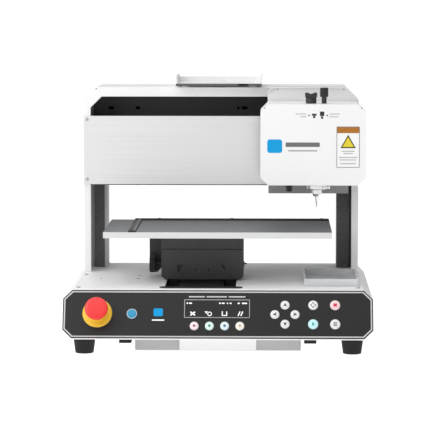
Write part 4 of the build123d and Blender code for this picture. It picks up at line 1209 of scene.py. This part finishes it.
class ENGRAVER_OT_lift(bpy.types.Operator):
    """Build the lift unit, its wedges and its hand screw"""

    bl_idname = "engraver.lift"
    bl_label = "Lift unit"

    def execute(self, context):
        sizes = context.scene.engraver_sizes
        softened("lift_base_box", "lift_anodised", sizes.metal_round)
        softened("lift_top_box", "lift_anodised", sizes.metal_round)
        softened("y_bearing_blocks", "lift_anodised", sizes.metal_round)
        # painted highlight on the wedges
        for node in ("lift_wedge_left", "lift_wedge_right"):
            softened(node, "wedge_steel_painted_highlight", 0.4 * MM, 2)
        self.hand_screw()
        self.screws()
        return {"FINISHED"}

    def hand_screw(self):
        """The cross screw with its knurled knob."""
        low, high = low_high("lift_hand_screw")
        centre = middle_of("lift_hand_screw")
        along = placed(Vector((0, centre.y, centre.z)), Vector((0, 1, 0)), UP)
        bm = bmesh.new()
        knob_end, tip = low.x + 10 * MM, high.x - 3.5 * MM
        bar = [(0, knob_end), (4 * MM, knob_end), (4 * MM, tip - 0.4 * MM), (3.6 * MM, tip), (1.3 * MM, tip),
               (1.3 * MM, high.x), (0, high.x)]
        revolve(bm, bar, 40)
        radius = (high.z - low.z) / 2
        knurled(bm, radius - 0.9 * MM, radius, low.x, knob_end, 40)
        for_node("hand_screw_knob", bm, "black_moulding", "lift_hand_screw", along, smooth=30)

    def screws(self):
        """Screws in the lift unit's front."""
        low, high = low_high("lift_top_box")
        front = facing_operator(0, low.y, 0)
        bm = bmesh.new()
        for x in (low.x + 8 * MM, high.x - 8 * MM):
            socket_screw(bm, 2.2 * MM, 0.6 * MM, front @ Matrix.Translation((x, frame_z(160), 0)))
        finish_piece("lift_top_screws", bm, "lift_anodised", "lift_top", "black_anodised")


class ENGRAVER_OT_drives(bpy.types.Operator):
    """Build the lead screws"""

    bl_idname = "engraver.drives"
    bl_label = "Lead screws"

    def execute(self, context):
        right, away, up = RIGHT, Vector((0, 1, 0)), UP
        for node, axis, first, second in (("x_screw", 0, away, up), ("y_screw", 1, up, right),
                                          ("z_screw", 2, right, away)):
            low, high = low_high(node)
            centre = middle_of(node)
            centre[axis] = 0.0
            radius, pitch = (high[(axis + 1) % 3] - low[(axis + 1) % 3]) / 2, 2.5 * MM
            start, end = low[axis], high[axis]
            profile = [(0, start), (radius * 0.8, start)]
            place = start + 10 * MM
            while place < end - 10 * MM:
                profile += [(radius * 0.8, place), (radius, place + pitch * 0.3),
                            (radius, place + pitch * 0.7)]
                place += pitch
            profile += [(radius * 0.8, place), (radius * 0.8, end), (0, end)]
            bm = bmesh.new()
            revolve(bm, profile, 20)
            for_node(f"{node}_thread", bm, "steel_ground", node, placed(centre, first, second), smooth=25)
        return {"FINISHED"}


class ENGRAVER_OT_fittings(bpy.types.Operator):
    """Build the tool tray, the power inlet, the rocker switch and the electronics"""

    bl_idname = "engraver.fittings"
    bl_label = "Fittings"

    def execute(self, context):
        softened("tool_tray", "clear_acrylic", 0.5 * MM, 2)
        softened("power_inlet", "black_moulding", 0.3 * MM, 2)
        softened("rocker_switch", "black_moulding", 0.3 * MM, 2)
        softened("power_supply", "steel_ground", 0.5 * MM, 2)
        softened("controller_board", "board_lacquer", 0.2 * MM, 1)
        return {"FINISHED"}


# ---- stage ----------------------------------------------------------------------------------------
class ENGRAVER_OT_stage(bpy.types.Operator):
    """Set up the floor, the soft studio light and the camera"""

    bl_idname = "engraver.stage"
    bl_label = "Stage"

    def execute(self, context):
        scene = context.scene
        stage = scene.engraver_stage
        self.floor()
        self.surroundings(scene, stage)
        centre = Vector((0, 0, 0.2))
        self.soft_light("key_light", stage.key_light, 0.8, Vector((-0.95, -1.0, 0.85)), centre)
        self.soft_light("top_light", stage.top_light, 2.6, Vector((-0.3, -0.45, 2.0)), centre)
        self.camera(scene)
        scene.view_settings.view_transform = "Standard"
        return {"FINISHED"}

    def floor(self):
        """A wide pale floor."""
        bm = bmesh.new()
        bmesh.ops.create_grid(bm, x_segments=1, y_segments=1, size=100.0)
        mesh = bpy.data.meshes.new("floor")
        bm.to_mesh(mesh)
        bm.free()
        floor = bpy.data.objects.new("floor", mesh)
        bpy.context.scene.collection.objects.link(floor)
        finish = Finish("floor_paper", Roughness=0.9, Emission_Strength=0.86)
        finish.set("Base Color", (0.40, 0.40, 0.40, 1))
        finish.set("Emission Color", (1, 1, 1, 1))
        mesh.materials.append(Finish.made["floor_paper"])

    def surroundings(self, scene, stage):
        """White surroundings that throw more light from the left than from the right."""
        world = bpy.data.worlds.new("white_room")
        world.use_nodes = True
        tree = world.node_tree
        shade = tree.nodes["Background"]
        coordinates = tree.nodes.new("ShaderNodeTexCoord")
        parts = tree.nodes.new("ShaderNodeSeparateXYZ")
        slant = tree.nodes.new("ShaderNodeMapRange")
        slant.inputs["From Min"].default_value, slant.inputs["From Max"].default_value = -1.0, 1.0
        slant.inputs["To Min"].default_value = stage.sky + stage.lean
        slant.inputs["To Max"].default_value = stage.sky - stage.lean
        tree.links.new(coordinates.outputs["Generated"], parts.inputs[0])
        tree.links.new(parts.outputs["X"], slant.inputs["Value"])
        tree.links.new(slant.outputs[0], shade.inputs["Strength"])
        shade.inputs["Color"].default_value = (1, 1, 1, 1)
        scene.world = world

    def soft_light(self, name, power, size, place, target):
        """A large square soft light that looks at a target."""
        light = bpy.data.lights.new(name, "AREA")
        light.energy, light.size = power, size
        lamp = bpy.data.objects.new(name, light)
        lamp.location = place
        lamp.rotation_euler = (target - place).to_track_quat("-Z", "Y").to_euler()
        bpy.context.scene.collection.objects.link(lamp)

    def camera(self, scene):
        """A long lens a little above the machine, in front and slightly to the right."""
        lens = bpy.data.cameras.new("camera")
        lens.lens, lens.sensor_width = 210.1, 36.0
        camera = bpy.data.objects.new("camera", lens)
        camera.location = (0.0804, frame_y(-3800), frame_z(570.6))
        aim = Vector((-0.0238, 1.0, -0.0926))
        camera.rotation_euler = aim.to_track_quat("-Z", "Y").to_euler()
        scene.collection.objects.link(camera)
        scene.camera = camera


STEPS = [ENGRAVER_OT_base, ENGRAVER_OT_panel, ENGRAVER_OT_keys, ENGRAVER_OT_stop, ENGRAVER_OT_portal,
         ENGRAVER_OT_head, ENGRAVER_OT_spindle, ENGRAVER_OT_knobs, ENGRAVER_OT_table, ENGRAVER_OT_lift,
         ENGRAVER_OT_drives, ENGRAVER_OT_fittings, ENGRAVER_OT_stage]
SETTINGS = {"engraver_sizes": EngraverSizes, "engraver_colours": EngraverColours,
            "engraver_stage": EngraverStage}


class ENGRAVER_PT_panel(bpy.types.Panel):
    """Lists the machine's settings and building steps"""

    bl_idname = "ENGRAVER_PT_panel"
    bl_label = "Desktop engraving machine"
    bl_space_type = "VIEW_3D"
    bl_region_type = "UI"
    bl_category = "Engraver"

    def draw(self, context):
        for name in SETTINGS:
            box = self.layout.box()
            group = getattr(context.scene, name)
            for setting in group.bl_rna.properties:
                if setting.identifier not in ("rna_type", "name"):
                    box.prop(group, setting.identifier)
        for step in STEPS:
            self.layout.operator(step.bl_idname)


def register():
    for group in SETTINGS.values():
        bpy.utils.register_class(group)
    for name, group in SETTINGS.items():
        setattr(bpy.types.Scene, name, bpy.props.PointerProperty(type=group))
    for step in STEPS + [ENGRAVER_PT_panel]:
        bpy.utils.register_class(step)


def unregister():
    for step in reversed(STEPS + [ENGRAVER_PT_panel]):
        bpy.utils.unregister_class(step)
    for name, group in SETTINGS.items():
        delattr(bpy.types.Scene, name)
        bpy.utils.unregister_class(group)


def main():
    """Registers the add-on and builds everything."""
    register()
    make_finishes(bpy.context.scene.engraver_colours)
    for step in STEPS:
        family, name = step.bl_idname.split(".")
        getattr(getattr(bpy.ops, family), name)()


if __name__ == "__main__":
    main()
